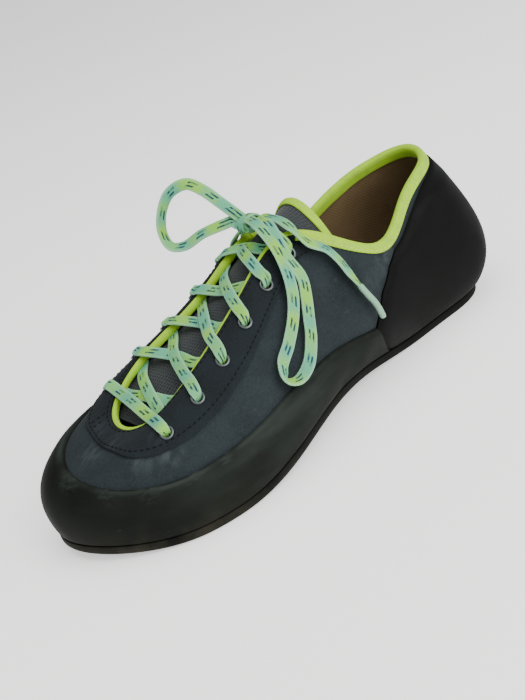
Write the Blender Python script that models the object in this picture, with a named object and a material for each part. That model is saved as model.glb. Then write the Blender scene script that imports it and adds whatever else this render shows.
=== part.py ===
"""A left climbing shoe, laced and empty, standing on its sole.

The toe points to +X, the outer side of the foot is +Y and the floor is Z = 0. Sizes are in metres.
The upper is a wall on a last: ribs rise from the feather edge, where sole and upper meet, to the
edge of the foot opening. A place on the last is a rib number, which runs from the heel round the
outer side to the toe and back, and a share of the way up that rib.
"""

import math

import bmesh
import bpy
import numpy as np
from mathutils import Matrix, Vector

for old in list(bpy.data.objects):
    bpy.data.objects.remove(old, do_unlink=True)

MM = 0.001

# Driving sizes
LENGTH = 250 * MM
BALL_WIDTH = 88 * MM
INSTEP_HEIGHT = 82 * MM
HEEL_HEIGHT = 77 * MM

# The last at its base size in millimetres, graded to the driving sizes
BASE_LENGTH = 250
BASE_BALL_WIDTH = 88
BASE_INSTEP = 82
BASE_HEEL = 77
GRADED_BY = {
    "along": "length",
    "across": "width",
    "rise": "height",
    "flare": "width",
    "edge_along": "length",
    "edge_across": "width",
    "edge_height": "height",
    "shoulder": "width",
    "drop": "height",
    "rand_top": "share",
}
LAST = {
    "heel_back": (5.0, 0, 21, 23.5, 4.5, 0, 77, 14, 30, 0.36),
    "heel_outer_corner": (11.0, 20.8, 18, 21, 14.5, 16.5, 74, 11.5, 30, 0.36),
    "heel_outer": (39, 23.2, 17, 18.5, 42.5, 25.5, 68, 8, 24, 0.36),
    "waist_outer": (90, 24, 16, 17, 73.5, 31, 59.5, 6, 16, 0.36),
    "instep_outer": (140, 36, 14, 13, 106, 20, 82, 22, 22, 0.37),
    "ball_outer": (178, 41.5, 18, 10.5, 141, 17, 71, 28, 14, 0.37),
    "toes_outer": (212, 34.5, 24, 8, 175, 17.5, 55.5, 24, 9, 0.345),
    "toe_outer_corner": (235, 15, 28, 8, 200, 13, 44.5, 22, 5, 0.41),
    "toe_tip": (245, -8, 30, 8, 208, -2, 42, 24, 3, 0.56),
    "toe_inner_corner": (238, -29, 28, 8, 199, -15, 47, 25, 4, 0.64),
    "toes_inner": (216, -40, 26, 8, 175, -16.5, 57.5, 26, 8, 0.60),
    "ball_inner": (182, -40, 20, 10, 142, -10, 69, 29, 12, 0.50),
    "instep_inner": (145, -31, 16, 12, 108, -10, 80, 22, 20, 0.43),
    "waist_inner": (95, -22, 16, 13, 76, -28, 62, 6, 16, 0.38),
    "heel_inner": (41, -21.5, 18, 17, 43, -25, 69, 7, 24, 0.36),
    "heel_inner_corner": (14, -18.5, 19, 21, 15, -16.5, 74.5, 12, 30, 0.36),
}
ROWS = len(LAST)
RIB_STEP = 0.001
# Plan lengths between which a rib's shoulder turns from straight out to along the rib
SHORT_RIB = 16 * MM
LONG_RIB = 30 * MM
THROAT_OUTER = 4.0
THROAT_INNER = 12.0

# Sole
SOLE_THICKNESS = 4.2 * MM
SOLE_STEP = 2.6 * MM
SOLE_EDGE_RADIUS = 1.5 * MM
ARCH_OUTER = 7.2 * MM
ARCH_INNER = 10.0 * MM
ARCH_FROM = 54 * MM
ARCH_TO = 196 * MM
ARCH_WIDTH = 0.7 * BALL_WIDTH
TOE_SPRING = 5.2 * MM
TOE_SPRING_FROM = 208 * MM
HEEL_ROUND = 3.0 * MM
HEEL_ROUND_FROM = 30 * MM

# Walls and gaps
GAP = 0.3 * MM
LAP_GAP = 0.45 * MM
UPPER_WALL = 2.0 * MM
RAND_WALL = 2.0 * MM
RAND_LIP = 0.9 * MM
RAND_ABOVE_SOLE = (0, 0, 0.2 * MM)
EYESTAY_WALL = 1.0 * MM
INSOLE_THICKNESS = 2.5 * MM
INSOLE_INSET = 2.8 * MM
TONGUE_WALL = 3.0 * MM
TONGUE_DEPTH = 4.4 * MM
TONGUE_FLAPS = (13 * MM, 6.5 * MM)

# The rands butt along a slanted seam at the waist, and the heel rand's front edge leans back above it
SEAM_SHARES = (0.0, 0.36, 0.60, 0.78, 0.88)
SEAM_RIBS = (2.80, 3.16, 3.10, 2.92, 2.68)
SEAM_GAP = 0.02
HEEL_RAND_RIBS = (0.0, 1.0, 1.5, 1.85, 2.4, 2.7)
HEEL_RAND_SHARES = (0.95, 0.95, 0.942, 0.91, 0.89, 0.88)

# Width of the eyestay from the throat's edge, rib by rib: wide over the outer toes, narrow at the toe tip
EYESTAY_FROM = 3.8
EYESTAY_WIDTHS = {
    3.8: 7, 3.9: 11, 4.0: 14, 4.15: 17, 4.4: 26, 4.7: 32, 5.1: 35, 5.5: 36.5, 5.85: 36, 6.3: 32, 6.7: 26, 7.4: 15,
    8.0: 12, 8.5: 11.5, 9.0: 15.5, 10.0: 22, 11.0: 22, 11.6: 18, 12.0: 15.5, 12.1: 11, 12.2: 7,
}
EYESTAY_EDGE_RIBS = (3.75, 4.0)
EYESTAY_EDGE = (2.2 * MM, 5.6 * MM)

# Eyelets
EYELET_PAIRS = 6
EYELET_FIRST = {"lateral": 204.5 * MM, "medial": 194.5 * MM}
EYELET_PITCH = {"lateral": 17.9 * MM, "medial": 17.3 * MM}
EYELET_RIBS = {"lateral": (4.0, 7.6), "medial": (12.0, 8.4)}
EYELET_FROM_EDGE = {"lateral": (23.5, 22, 19.5, 18, 15.5, 9.5), "medial": (13, 11.5, 11, 10, 9.5, 8.5)}
EYELET_BORE = 2.2 * MM
EYELET_FLANGE = 3.2 * MM
EYELET_THICKNESS = 0.7 * MM
EYELET_SIDES = 8
EYELET_HOLE = 2.4 * MM
DRILL_DEPTH = 14 * MM
EYELET_TOP = LAP_GAP + EYESTAY_WALL + GAP + EYELET_THICKNESS

# Edge bindings, as (out from the last, up from the edge) in millimetres
COLLAR_CHANNEL = (
    (0.6, -4.2), (1.4, -4.0), (1.5, 0.2), (-1.0, 1.5), (-3.8, 0.2),
    (-3.8, -5.0), (-2.9, -5.0), (-2.9, 0.5), (0.6, 0.5),
)
THROAT_CHANNEL = (
    (0.6, -1.5), (1.4, -1.5), (1.4, 0.2), (-1.0, 1.4), (-3.6, 0.2),
    (-3.6, -3.8), (-2.7, -3.8), (-2.7, 0.5), (0.6, 0.5),
)
TONGUE_CHANNEL = (
    (0.6, -4.0), (1.4, -3.8), (1.5, 0.4), (0.5, 1.5), (-3.5, 1.5),
    (-4.5, 0.4), (-4.4, -3.8), (-3.6, -4.0), (-3.6, 0.5), (0.6, 0.5),
)
BINDING_BUTT = 0.03
TONGUE_BINDING_ACROSS = (0.06, 0.90)
TONGUE_BINDING_STATIONS = 11

# Tongue stations: outer rib, inner rib, height of the crown over the throat's edges, lift of the inner side
TONGUE = {
    "front": (7.35, 8.65, 0.5 * MM, 0.0),
    "toes": (6.60, 9.40, 1.5 * MM, 0.0),
    "ball": (5.80, 10.20, 2.0 * MM, 0.0),
    "instep": (4.90, 11.10, 2.5 * MM, 0.0),
    "throat_top": (4.10, 11.90, 4.0 * MM, 0.0),
    "collar": (3.75, 12.25, 8.5 * MM, 4.0 * MM),
    "top": (3.45, 12.55, 14.0 * MM, 11.0 * MM),
}

TONGUE_STEP = 0.05

# Lace
LACE_WIDTH = 5.4 * MM
LACE_THICKNESS = 1.8 * MM
LACE_LIFT = 1.1 * MM
LACE_OVER_EDGE = 2.4 * MM
LACE_EDGE_WIDTH = 0.7
CROSSING_ACROSS = {"lateral": (0.16, 0.5, 0.84), "medial": (0.84, 0.5, 0.16)}
EDGE_RIBS = {"lateral": (THROAT_OUTER, ROWS / 2), "medial": (THROAT_INNER, ROWS / 2)}
BAR_ARCH = 0.8 * MM
RISE_LIFT = 0.6 * MM
CORD_RADIUS = 1.7 * MM
CORD_STEP = 12 * MM
KNOT_RIBS = (4.12, 11.88)
KNOT_STEP = (1 * MM, -5 * MM, 7 * MM)
KNOT_SIZE = (7 * MM, 8 * MM, 4 * MM)

# Routes of the bow: steps out of the knot in millimetres, then (rib, share, lift in millimetres)
BOW = {
    "lace_loop_lateral": (
        ((5, 8.8, 4), (8, 15.5, 4)),
        ((4.33, 0.94, 8), (4.24, 0.83, 6.5), (4.20, 0.73, 5), (4.26, 0.64, 4.5), (4.40, 0.56, 4), (4.55, 0.51, 4),
         (4.55, 0.44, 4), (4.40, 0.40, 4), (4.21, 0.42, 4), (4.08, 0.51, 4), (4.05, 0.60, 4.5), (4.03, 0.69, 5),
         (4.05, 0.77, 6)),
        ((9.3, 28.7, -9), (5, 19, 2.2), (1.5, 9.5, 2.6)),
    ),
    "lace_end_lateral": (
        ((-3.5, 8.8, 1.5), (-4, 16, 0), (-3, 23.6, -3.7)),
        ((3.90, 0.93, 5), (3.68, 0.91, 4), (3.54, 0.86, 3.8), (3.44, 0.77, 4), (3.35, 0.66, 4.2), (3.26, 0.56, 4.6),
         (3.19, 0.46, 5.2)),
        (),
    ),
    "lace_loop_medial": (
        ((1.3, -5.4, 5), (3.6, -11, 12), (5.8, -16.4, 18.4), (8.9, -22.5, 22.8), (14.7, -28.8, 20.9),
         (20, -32.1, 13.9), (23.4, -32.3, 5.4), (23.6, -29.3, -1), (20.1, -24.3, -2.3)),
        (),
        ((13.7, -17.7, 0.6), (8.3, -11.5, 1.9), (5.5, -8.8, 2.2)),
    ),
    "lace_end_medial": (
        ((-4, -8.8, 0.5), (-9, -14, -2)),
        ((12.34, 0.93, 6), (12.42, 0.84, 5), (12.48, 0.72, 4.5), (12.52, 0.60, 4.5), (12.54, 0.48, 5)),
        (),
    ),
}

# Fineness of the meshes
RIBS = 56
UPPER_SHARES = (0, 0.13, 0.26, 0.39, 0.51, 0.62, 0.73, 0.83, 0.92, 1)
RAND_FROM = 3.4
RAND_RUNGS = 7
HEEL_RAND_TO = 2.5
HEEL_RAND_RUNGS = 7
EYESTAY_RUNGS = 4
SOLE_STRIPS = 3
TONGUE_STATIONS = 13
TONGUE_ACROSS = 7
STRIP_POINTS = 2
MEASURE_STEPS = 60
EDGE_STEPS = 400
CURVE_STEPS = 12
KNOT_SEGMENTS = (10, 6)
SMOOTH_BELOW = math.radians(35)

# Finishes: colour, roughness, metallic
RUBBER = ((0.012, 0.012, 0.011, 1), 0.55, 0.0)
HEEL_RUBBER = ((0.009, 0.010, 0.010, 1), 0.6, 0.0)
MICROFIBRE = ((0.042, 0.052, 0.058, 1), 0.85, 0.0)
FACING = ((0.016, 0.020, 0.022, 1), 0.8, 0.0)
BINDING = ((0.45, 0.68, 0.12, 1), 0.8, 0.0)
TONGUE_CLOTH = ((0.030, 0.034, 0.038, 1), 0.9, 0.0)
FOOTBED = ((0.32, 0.22, 0.12, 1), 0.9, 0.0)
STEEL = ((0.55, 0.56, 0.57, 1), 0.3, 1.0)
LACE_CORD = ((0.30, 0.52, 0.36, 1), 0.85, 0.0)


def grade(column, name):
    """Base size to real size for one column of the last's table, row by row."""
    kind = GRADED_BY[column]
    if kind == "length":
        return LENGTH / BASE_LENGTH
    if kind == "width":
        return BALL_WIDTH / BASE_BALL_WIDTH
    if kind == "share":
        return 1.0
    return HEEL_HEIGHT / BASE_HEEL if name.startswith("heel") else INSTEP_HEIGHT / BASE_INSTEP


def ring_bends(values):
    """Second differences of a closed cubic spline through evenly spaced values."""
    count = len(values)
    matrix = 4 * np.eye(count) + np.roll(np.eye(count), 1, 0) + np.roll(np.eye(count), -1, 0)
    return np.linalg.solve(matrix, 6 * (np.roll(values, 1) - 2 * values + np.roll(values, -1)))


CURVES = {}
for place, column in enumerate(GRADED_BY):
    sizes = np.array([row[place] * grade(column, name) for name, row in LAST.items()], float)
    CURVES[column] = (sizes, ring_bends(sizes))


def column_at(column, rib):
    """Value of one column at any rib, on the closed spline through its rows."""
    values, bends = CURVES[column]
    rib = np.asarray(rib, float) % ROWS
    low = np.floor(rib).astype(int) % ROWS
    high = (low + 1) % ROWS
    part = rib - np.floor(rib)
    rest = 1 - part
    bend = (rest**3 - rest) * bends[low] + (part**3 - part) * bends[high]
    return rest * values[low] + part * values[high] + bend / 6


def sole_lift(x, y):
    """Height of the sole's underside: flat at heel and forefoot, with arch, toe spring and round heel."""
    arch = np.clip((x - ARCH_FROM) / (ARCH_TO - ARCH_FROM), 0, 1)
    side = np.clip(0.5 - y / ARCH_WIDTH, 0, 1)
    toe = np.clip((x - TOE_SPRING_FROM) / (LENGTH - TOE_SPRING_FROM), 0, None)
    heel = np.clip((HEEL_ROUND_FROM - x) / HEEL_ROUND_FROM, 0, None)
    rise = ARCH_OUTER + (ARCH_INNER - ARCH_OUTER) * side
    return rise * np.sin(math.pi * arch) ** 2 + TOE_SPRING * toe**2 + HEEL_ROUND * heel**2


def stack(x, y, z):
    return np.stack(np.broadcast_arrays(x, y, z), -1).astype(float)


def unit(vectors):
    return vectors / np.linalg.norm(vectors, axis=-1, keepdims=True)


def outward(rib):
    """Level direction out of the feather line at a rib."""
    step = RIB_STEP
    along = column_at("along", rib + step) - column_at("along", rib - step)
    across = column_at("across", rib + step) - column_at("across", rib - step)
    size = np.hypot(along, across)
    return stack(-across / size, along / size, 0.0)


def feather(rib, out=0.0):
    """Point of the feather line, moved out level, just above the edge of the sole."""
    line = stack(column_at("along", rib), column_at("across", rib), SOLE_THICKNESS + GAP)
    edge = line + SOLE_STEP * outward(rib)
    line[..., 2] += sole_lift(edge[..., 0], edge[..., 1])
    return line + out * outward(rib)


def surface(rib, share):
    """Outer surface of the last: a cubic rib from the feather line to the edge of the opening."""
    rib, share = np.broadcast_arrays(np.asarray(rib, float), np.asarray(share, float))
    up = np.array([0.0, 0.0, 1.0])
    out = outward(rib)
    foot = feather(rib)
    edge = stack(column_at("edge_along", rib), column_at("edge_across", rib), column_at("edge_height", rib))
    shoulder = column_at("shoulder", rib)[..., None]
    down_rib = (foot - edge) * np.array([1.0, 1.0, 0.0])
    run = np.linalg.norm(down_rib, axis=-1, keepdims=True)
    weight = np.clip((run - SHORT_RIB) / (LONG_RIB - SHORT_RIB), 0, 1)
    lean = unit(down_rib / run * weight + out * (1 - weight))
    low = foot + up * column_at("rise", rib)[..., None] + out * column_at("flare", rib)[..., None]
    high = edge - up * column_at("drop", rib)[..., None] + lean * shoulder
    t = share[..., None]
    s = 1 - t
    return s**3 * foot + 3 * s * s * t * low + 3 * s * t * t * high + t**3 * edge


def up_rib(rib, share):
    """Direction up the rib."""
    step = RIB_STEP
    return unit(surface(rib, np.clip(share + step, 0, 1)) - surface(rib, np.clip(share - step, 0, 1)))


def normal(rib, share):
    """Direction out of the last's surface."""
    step = RIB_STEP
    round_shoe = surface(rib + step, share) - surface(rib - step, share)
    return unit(np.cross(up_rib(rib, share), round_shoe))


def edge_up(rib):
    """Direction up out of the edge of the opening, square to that edge."""
    step = RIB_STEP
    along_edge = surface(rib + step, 1.0) - surface(rib - step, 1.0)
    return unit(np.cross(along_edge, normal(rib, 1.0)))


def skin(rib, share, out=0.0):
    """Point of the last's surface, moved out along its normal."""
    rib, share, out = np.broadcast_arrays(*(np.asarray(value, float) for value in (rib, share, out)))
    return surface(rib, share) + out[..., None] * normal(rib, share)


def share_below_edge(rib, distance):
    """Share of the rib that lies a distance along it below the edge of the opening."""
    rib, distance = np.broadcast_arrays(np.asarray(rib, float), np.asarray(distance, float))
    shares = np.linspace(1, 0, MEASURE_STEPS + 1)
    points = surface(rib[..., None], shares)
    steps = np.linalg.norm(np.diff(points, axis=-2), axis=-1)
    runs = np.concatenate([np.zeros(rib.shape + (1,)), np.cumsum(steps, -1)], -1)
    flat = [np.interp(d, run, shares) for d, run in zip(distance.ravel(), runs.reshape(-1, len(shares)))]
    return np.array(flat).reshape(rib.shape)


def smooth_path(points, step):
    """Points a step apart on a smooth curve through a route's own points."""
    points = np.asarray(points, float)
    padded = np.vstack([2 * points[0] - points[1], points, 2 * points[-1] - points[-2]])
    fine = []
    for a, b, c, d in zip(padded, padded[1:], padded[2:], padded[3:]):
        for t in np.linspace(0, 1, CURVE_STEPS, endpoint=False):
            bend = (2 * a - 5 * b + 4 * c - d) * t**2 + (3 * b - a - 3 * c + d) * t**3
            fine.append(0.5 * (2 * b + (c - a) * t + bend))
    fine.append(points[-1])
    fine = np.array(fine)
    runs = np.concatenate([[0], np.cumsum(np.linalg.norm(np.diff(fine, axis=0), axis=1))])
    count = max(3, round(runs[-1] / step) + 1)
    places = np.linspace(0, runs[-1], count)
    return np.stack([np.interp(places, runs, fine[:, axis]) for axis in range(3)], -1)


MATERIALS = {}


def material(name, finish):
    if name not in MATERIALS:
        made = bpy.data.materials.new(name)
        made.use_nodes = True
        shader = made.node_tree.nodes["Principled BSDF"]
        colour, roughness, metallic = finish
        shader.inputs["Base Color"].default_value = colour
        shader.inputs["Roughness"].default_value = roughness
        shader.inputs["Metallic"].default_value = metallic
        MATERIALS[name] = made
    return MATERIALS[name]


SHOE = bpy.data.objects.new("shoe", None)
bpy.context.collection.objects.link(SHOE)


def add_piece(name, data, finish):
    """Named object under the shoe's empty, with its material."""
    if finish:
        data.materials.append(material(*finish))
    piece = bpy.data.objects.new(name, data)
    bpy.context.collection.objects.link(piece)
    piece.parent = SHOE
    return piece


def add_mesh(name, bm, finish):
    """Closed mesh as a named object, smooth but for its sharp edges."""
    bmesh.ops.recalc_face_normals(bm, faces=bm.faces)
    mesh = bpy.data.meshes.new(name)
    bm.to_mesh(mesh)
    bm.free()
    mesh.shade_smooth()
    mesh.set_sharp_from_angle(angle=SMOOTH_BELOW)
    return add_piece(name, mesh, finish)


def hide(piece):
    piece.hide_render = True
    piece.display_type = "WIRE"
    return piece


def combine(piece, other, operation):
    modifier = piece.modifiers.new(operation.lower(), "BOOLEAN")
    modifier.operation = operation
    modifier.object = hide(other)


def skin_grid(bm, grid, around):
    """Quads over a grid of vertices; around joins the last column to the first."""
    columns = len(grid[0])
    for low, high in zip(grid, grid[1:]):
        for i in range(columns if around else columns - 1):
            j = (i + 1) % columns
            bm.faces.new((low[i], low[j], high[j], high[i]))


def shell(name, outer, inner, finish, around=False):
    """Wall between two grids of points, closed along its edges."""
    bm = bmesh.new()
    outside = [[bm.verts.new(point) for point in row] for row in outer]
    inside = [[bm.verts.new(point) for point in row] for row in inner]
    skin_grid(bm, outside, around)
    skin_grid(bm, inside, around)
    skin_grid(bm, [outside[0], inside[0]], around)
    skin_grid(bm, [outside[-1], inside[-1]], around)
    if not around:
        for side in (0, -1):
            skin_grid(bm, [[row[side] for row in outside], [row[side] for row in inside]], False)
    return add_mesh(name, bm, finish)


def sweep(name, sections, finish):
    """Bar with a closed section at each station and flat ends."""
    bm = bmesh.new()
    rings = [[bm.verts.new(point) for point in ring] for ring in sections]
    skin_grid(bm, rings, True)
    bm.faces.new(rings[0])
    bm.faces.new(rings[-1])
    return add_mesh(name, bm, finish)


def cap(bm, ring, height):
    """Strips across a ring, outer side to inner side, with their inner points at a height."""
    half = len(ring) // 2
    rows = []
    for k in range(1, half):
        left, right = ring[k], ring[-k]
        row = [left]
        for j in range(1, SOLE_STRIPS):
            point = left.co.lerp(right.co, j / SOLE_STRIPS)
            point.z = height(point.x, point.y)
            row.append(bm.verts.new(point))
        rows.append(row + [right])
    skin_grid(bm, rows, False)
    for tip, row in ((ring[0], rows[0]), (ring[half], rows[-1])):
        for a, b in zip(row, row[1:]):
            bm.faces.new((tip, a, b))


def plate(name, rings, bottom, top, finish):
    """Plate with rings from its underside to its top, each end filled at its own height."""
    bm = bmesh.new()
    made = [[bm.verts.new(point) for point in ring] for ring in rings]
    skin_grid(bm, made, True)
    cap(bm, made[0], bottom)
    cap(bm, made[-1], top)
    return add_mesh(name, bm, finish)


ALL_RIBS = np.arange(RIBS) * ROWS / RIBS


def ribs_between(first, last):
    """The upper's own ribs strictly between two ribs, so that laid-on pieces follow its facets."""
    per_row = RIBS / ROWS
    return np.arange(math.floor(first * per_row) + 1, math.ceil(last * per_row)) / per_row


def sole_ring(inset, height):
    """Ring round the sole, in from its edge and up from its underside."""
    ring = feather(ALL_RIBS, SOLE_STEP - inset)
    ring[:, 2] += height - SOLE_THICKNESS - GAP
    return ring


def make_outsole():
    radius = SOLE_EDGE_RADIUS
    rings = [
        sole_ring(radius, 0.0),
        sole_ring(0.3 * radius, 0.3 * radius),
        sole_ring(0.0, radius),
        sole_ring(0.0, SOLE_THICKNESS),
    ]
    plate("outsole", rings, sole_lift, lambda x, y: sole_lift(x, y) + SOLE_THICKNESS, ("sole_rubber", RUBBER))


def make_insole():
    base = SOLE_THICKNESS + LAP_GAP
    rings = [sole_ring(SOLE_STEP + INSOLE_INSET, height) for height in (base, base + INSOLE_THICKNESS)]
    plate(
        "insole",
        rings,
        lambda x, y: sole_lift(x, y) + base,
        lambda x, y: sole_lift(x, y) + base + INSOLE_THICKNESS,
        ("footbed", FOOTBED),
    )


def make_upper():
    shares = np.array(UPPER_SHARES)[:, None]
    outer = skin(ALL_RIBS, shares)
    inner = skin(ALL_RIBS, shares, -UPPER_WALL)
    inner[0, :, 2] = outer[0, :, 2]
    return shell("upper", outer, inner, ("microfibre", MICROFIBRE), around=True)


def lapped(name, ribs, shares, wall, finish):
    """Overlay on the upper, cut from the last's own surface, with a thinner upper lip."""
    thickness = np.full(shares.shape, wall)
    thickness[-1] = min(wall, RAND_LIP)
    inner = skin(ribs, shares, LAP_GAP)
    outer = skin(ribs, shares, LAP_GAP + thickness)
    if not shares[0].any():
        inner[0] = feather(ribs[0], LAP_GAP) + RAND_ABOVE_SOLE
        outer[0] = feather(ribs[0], LAP_GAP + wall) + RAND_ABOVE_SOLE
    return shell(name, outer, inner, finish)


def seam_ribs(shares):
    """Ribs from the heel to the seam between the rands, at shares up the rib."""
    return np.interp(shares, SEAM_SHARES, SEAM_RIBS)


def rib_grid(start, stop, first, last):
    """Ribs of an overlay, row by row: the upper's own ribs, with slanted ends at start and stop."""
    own = ribs_between(first, last) + 0 * start
    return np.hstack([start, (start + own[:, :1]) / 2, own, (own[:, -1:] + stop) / 2, stop])


def make_rand():
    rungs = np.linspace(0, 1, RAND_RUNGS + 1)[:, None]
    start = seam_ribs(rungs * column_at("rand_top", SEAM_RIBS[1])) + SEAM_GAP
    stop = ROWS - seam_ribs(rungs * column_at("rand_top", ROWS - SEAM_RIBS[1])) - SEAM_GAP
    ribs = rib_grid(start, stop, RAND_FROM, ROWS - RAND_FROM)
    shares = rungs * column_at("rand_top", ribs)
    lapped("rand", ribs, shares, RAND_WALL, ("rand_rubber", RUBBER))


def make_heel_rand():
    rungs = np.linspace(0, 1, HEEL_RAND_RUNGS + 1)[:, None]
    stop = seam_ribs(rungs * HEEL_RAND_SHARES[-1])
    ribs = rib_grid(-stop, stop, -HEEL_RAND_TO, HEEL_RAND_TO)
    shares = rungs * np.interp(abs(ribs[-1]), HEEL_RAND_RIBS, HEEL_RAND_SHARES)
    lapped("heel_rand", ribs, shares, RAND_WALL, ("heel_rubber", HEEL_RUBBER))


def make_eyestay():
    first, last = EYESTAY_FROM, ROWS - EYESTAY_FROM
    ribs = np.concatenate([[first], ribs_between(first, last), [last]])
    width = np.interp(ribs, list(EYESTAY_WIDTHS), list(EYESTAY_WIDTHS.values())) * MM
    low = share_below_edge(ribs, width)
    high = share_below_edge(ribs, np.interp(abs(ribs - ROWS / 2), EYESTAY_EDGE_RIBS, EYESTAY_EDGE))
    rungs = np.linspace(0, 1, EYESTAY_RUNGS + 1)[:, None]
    return lapped("eyestay", ribs + 0 * rungs, low + (high - low) * rungs, EYESTAY_WALL, ("facing", FACING))


def channel_corner(ribs, out, up):
    """Corner of a binding: below the edge it follows the wall, above it the way up the rib."""
    if up < 0:
        return skin(ribs, share_below_edge(ribs, -up), out)
    return skin(ribs, 1.0, out) + up * edge_up(ribs)


def edge_channel(name, first, last, channel):
    """Folded binding over the edge of the opening, between two ribs."""
    first, last = first + BINDING_BUTT, last - BINDING_BUTT
    ribs = np.concatenate([[first], ribs_between(first, last), [last]])
    corners = [channel_corner(ribs, out * MM, up * MM) for out, up in channel]
    sweep(name, np.stack(corners, 1), ("binding_tape", BINDING))


def tongue_row(station):
    """Outer rib, inner rib, crown and inner lift at a station, counted in rows of the tongue's table."""
    rows = np.array(list(TONGUE.values()))
    places = np.arange(len(rows))
    return [np.interp(station, places, rows[:, i]) for i in range(4)]


def tongue_span(station, across):
    """Point of the tongue's top between the throat's edges; across runs 0 to 1, outer to inner."""
    outer_rib, inner_rib, crown, lift = tongue_row(station)
    left = skin(outer_rib, 1.0, -TONGUE_DEPTH)
    right = skin(inner_rib, 1.0, -TONGUE_DEPTH) + lift * edge_up(inner_rib)
    middle = (left + right) / 2 + np.array([0, 0, 2 * crown])
    a = np.asarray(across, float)[..., None]
    return (1 - a) ** 2 * left + 2 * a * (1 - a) * middle + a**2 * right


def tongue_section(station):
    """Tongue's top from flap to flap: under the outer edge, across the throat, under the inner edge."""
    outer_rib, inner_rib, _, _ = tongue_row(station)
    flaps = np.array(TONGUE_FLAPS)
    outer_flap = skin(outer_rib, share_below_edge(outer_rib, flaps), -TONGUE_DEPTH)
    inner_flap = skin(inner_rib, share_below_edge(inner_rib, flaps), -TONGUE_DEPTH)
    span = tongue_span(station, np.linspace(0, 1, TONGUE_ACROSS))
    return np.vstack([outer_flap, span, inner_flap[::-1]])


def grid_normals(grid):
    return unit(np.cross(np.gradient(grid, axis=0), np.gradient(grid, axis=1)))


def make_tongue():
    stations = np.linspace(0, len(TONGUE) - 1, TONGUE_STATIONS)
    top = np.array([tongue_section(station) for station in stations])
    shell("tongue", top, top - TONGUE_WALL * grid_normals(top), ("tongue_cloth", TONGUE_CLOTH))


def make_tongue_binding():
    last = len(TONGUE) - 1
    across = np.linspace(*TONGUE_BINDING_ACROSS, TONGUE_BINDING_STATIONS)
    edge = tongue_span(last, across)
    away = unit(edge - tongue_span(last - TONGUE_STEP, across))
    along = np.gradient(edge, axis=0)
    out = unit(np.cross(along, away))
    out = out * np.sign(out[:, 2:])
    corners = np.array(TONGUE_CHANNEL) * MM
    sections = edge[:, None] + out[:, None] * corners[:, :1] + away[:, None] * corners[:, 1:]
    sweep("tongue_binding", sections, ("binding_tape", BINDING))


def eyelet_place(side, k):
    """Rib and share that an eyelet sits on, counted from the toe: an even pitch along the shoe."""
    below = EYELET_FROM_EDGE[side][k] * MM
    ribs = np.linspace(*EYELET_RIBS[side], MEASURE_STEPS + 1)
    along = skin(ribs, share_below_edge(ribs, below))[:, 0]
    rib = np.interp(EYELET_FIRST[side] - k * EYELET_PITCH[side], along, ribs)
    return rib, share_below_edge(rib, below)


def eyelet_seat(side, k):
    """Centre of an eyelet on the last, and the way out of it."""
    rib, share = eyelet_place(side, k)
    return Vector(skin(rib, share)), Vector(normal(rib, share))


def eyelet_mesh():
    """Ring on the eyestay, turned about Z."""
    under = EYELET_TOP - EYELET_THICKNESS
    profile = (
        (EYELET_BORE, EYELET_TOP), (EYELET_FLANGE, EYELET_TOP), (EYELET_FLANGE, under), (EYELET_BORE, under),
    )
    bm = bmesh.new()
    corners = [bm.verts.new((radius, 0, z)) for radius, z in profile]
    edges = [bm.edges.new((a, b)) for a, b in zip(corners, corners[1:] + corners[:1])]
    bmesh.ops.spin(
        bm, geom=corners + edges, cent=(0, 0, 0), axis=(0, 0, 1),
        angle=2 * math.pi, steps=EYELET_SIDES, use_merge=True,
    )
    bmesh.ops.remove_doubles(bm, verts=bm.verts, dist=0.01 * MM)
    bmesh.ops.recalc_face_normals(bm, faces=bm.faces)
    mesh = bpy.data.meshes.new("eyelet")
    bm.to_mesh(mesh)
    bm.free()
    mesh.materials.append(material("eyelet_steel", STEEL))
    mesh.shade_smooth()
    mesh.set_sharp_from_angle(angle=SMOOTH_BELOW)
    return mesh


def make_eyelets(pieces_with_holes):
    mesh = eyelet_mesh()
    drill = bmesh.new()
    for side in ("lateral", "medial"):
        for k in range(EYELET_PAIRS):
            centre, way = eyelet_seat(side, k)
            turn = way.to_track_quat("Z", "Y")
            piece = add_piece(f"eyelet_{side}_{k + 1}", mesh, None)
            piece.location = centre
            piece.rotation_mode = "QUATERNION"
            piece.rotation_quaternion = turn
            bmesh.ops.create_cone(
                drill, cap_ends=True, segments=EYELET_SIDES, radius1=EYELET_HOLE, radius2=EYELET_HOLE,
                depth=DRILL_DEPTH, matrix=Matrix.Translation(centre) @ turn.to_matrix().to_4x4(),
            )
    cutter = add_mesh("eyelet_drill", drill, None)
    for piece in pieces_with_holes:
        combine(piece, cutter, "DIFFERENCE")


def over_eyelet(side, k):
    """Lace on top of an eyelet."""
    centre, way = eyelet_seat(side, k)
    return np.array(centre + way * (EYELET_TOP + LACE_LIFT + LACE_THICKNESS / 2)), np.array(way)


def nearest_to_line(points, start, end):
    """Number of the point that lies nearest a straight lace, seen from above."""
    reach = np.asarray(end) - np.asarray(start)
    steps = points - np.asarray(start)
    return abs(reach[0] * steps[:, 1] - reach[1] * steps[:, 0]).argmin()


def over_edge(side, start, end):
    """Lace on top of the bound throat edge, where a straight lace crosses it."""
    ribs = np.linspace(*EDGE_RIBS[side], EDGE_STEPS + 1)
    rib = ribs[nearest_to_line(surface(ribs, 1.0), start, end)]
    way = normal(rib, 1.0)
    return skin(rib, 1.0, LACE_OVER_EDGE + LACE_THICKNESS / 2) + edge_up(rib) * LACE_LIFT, way


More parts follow.
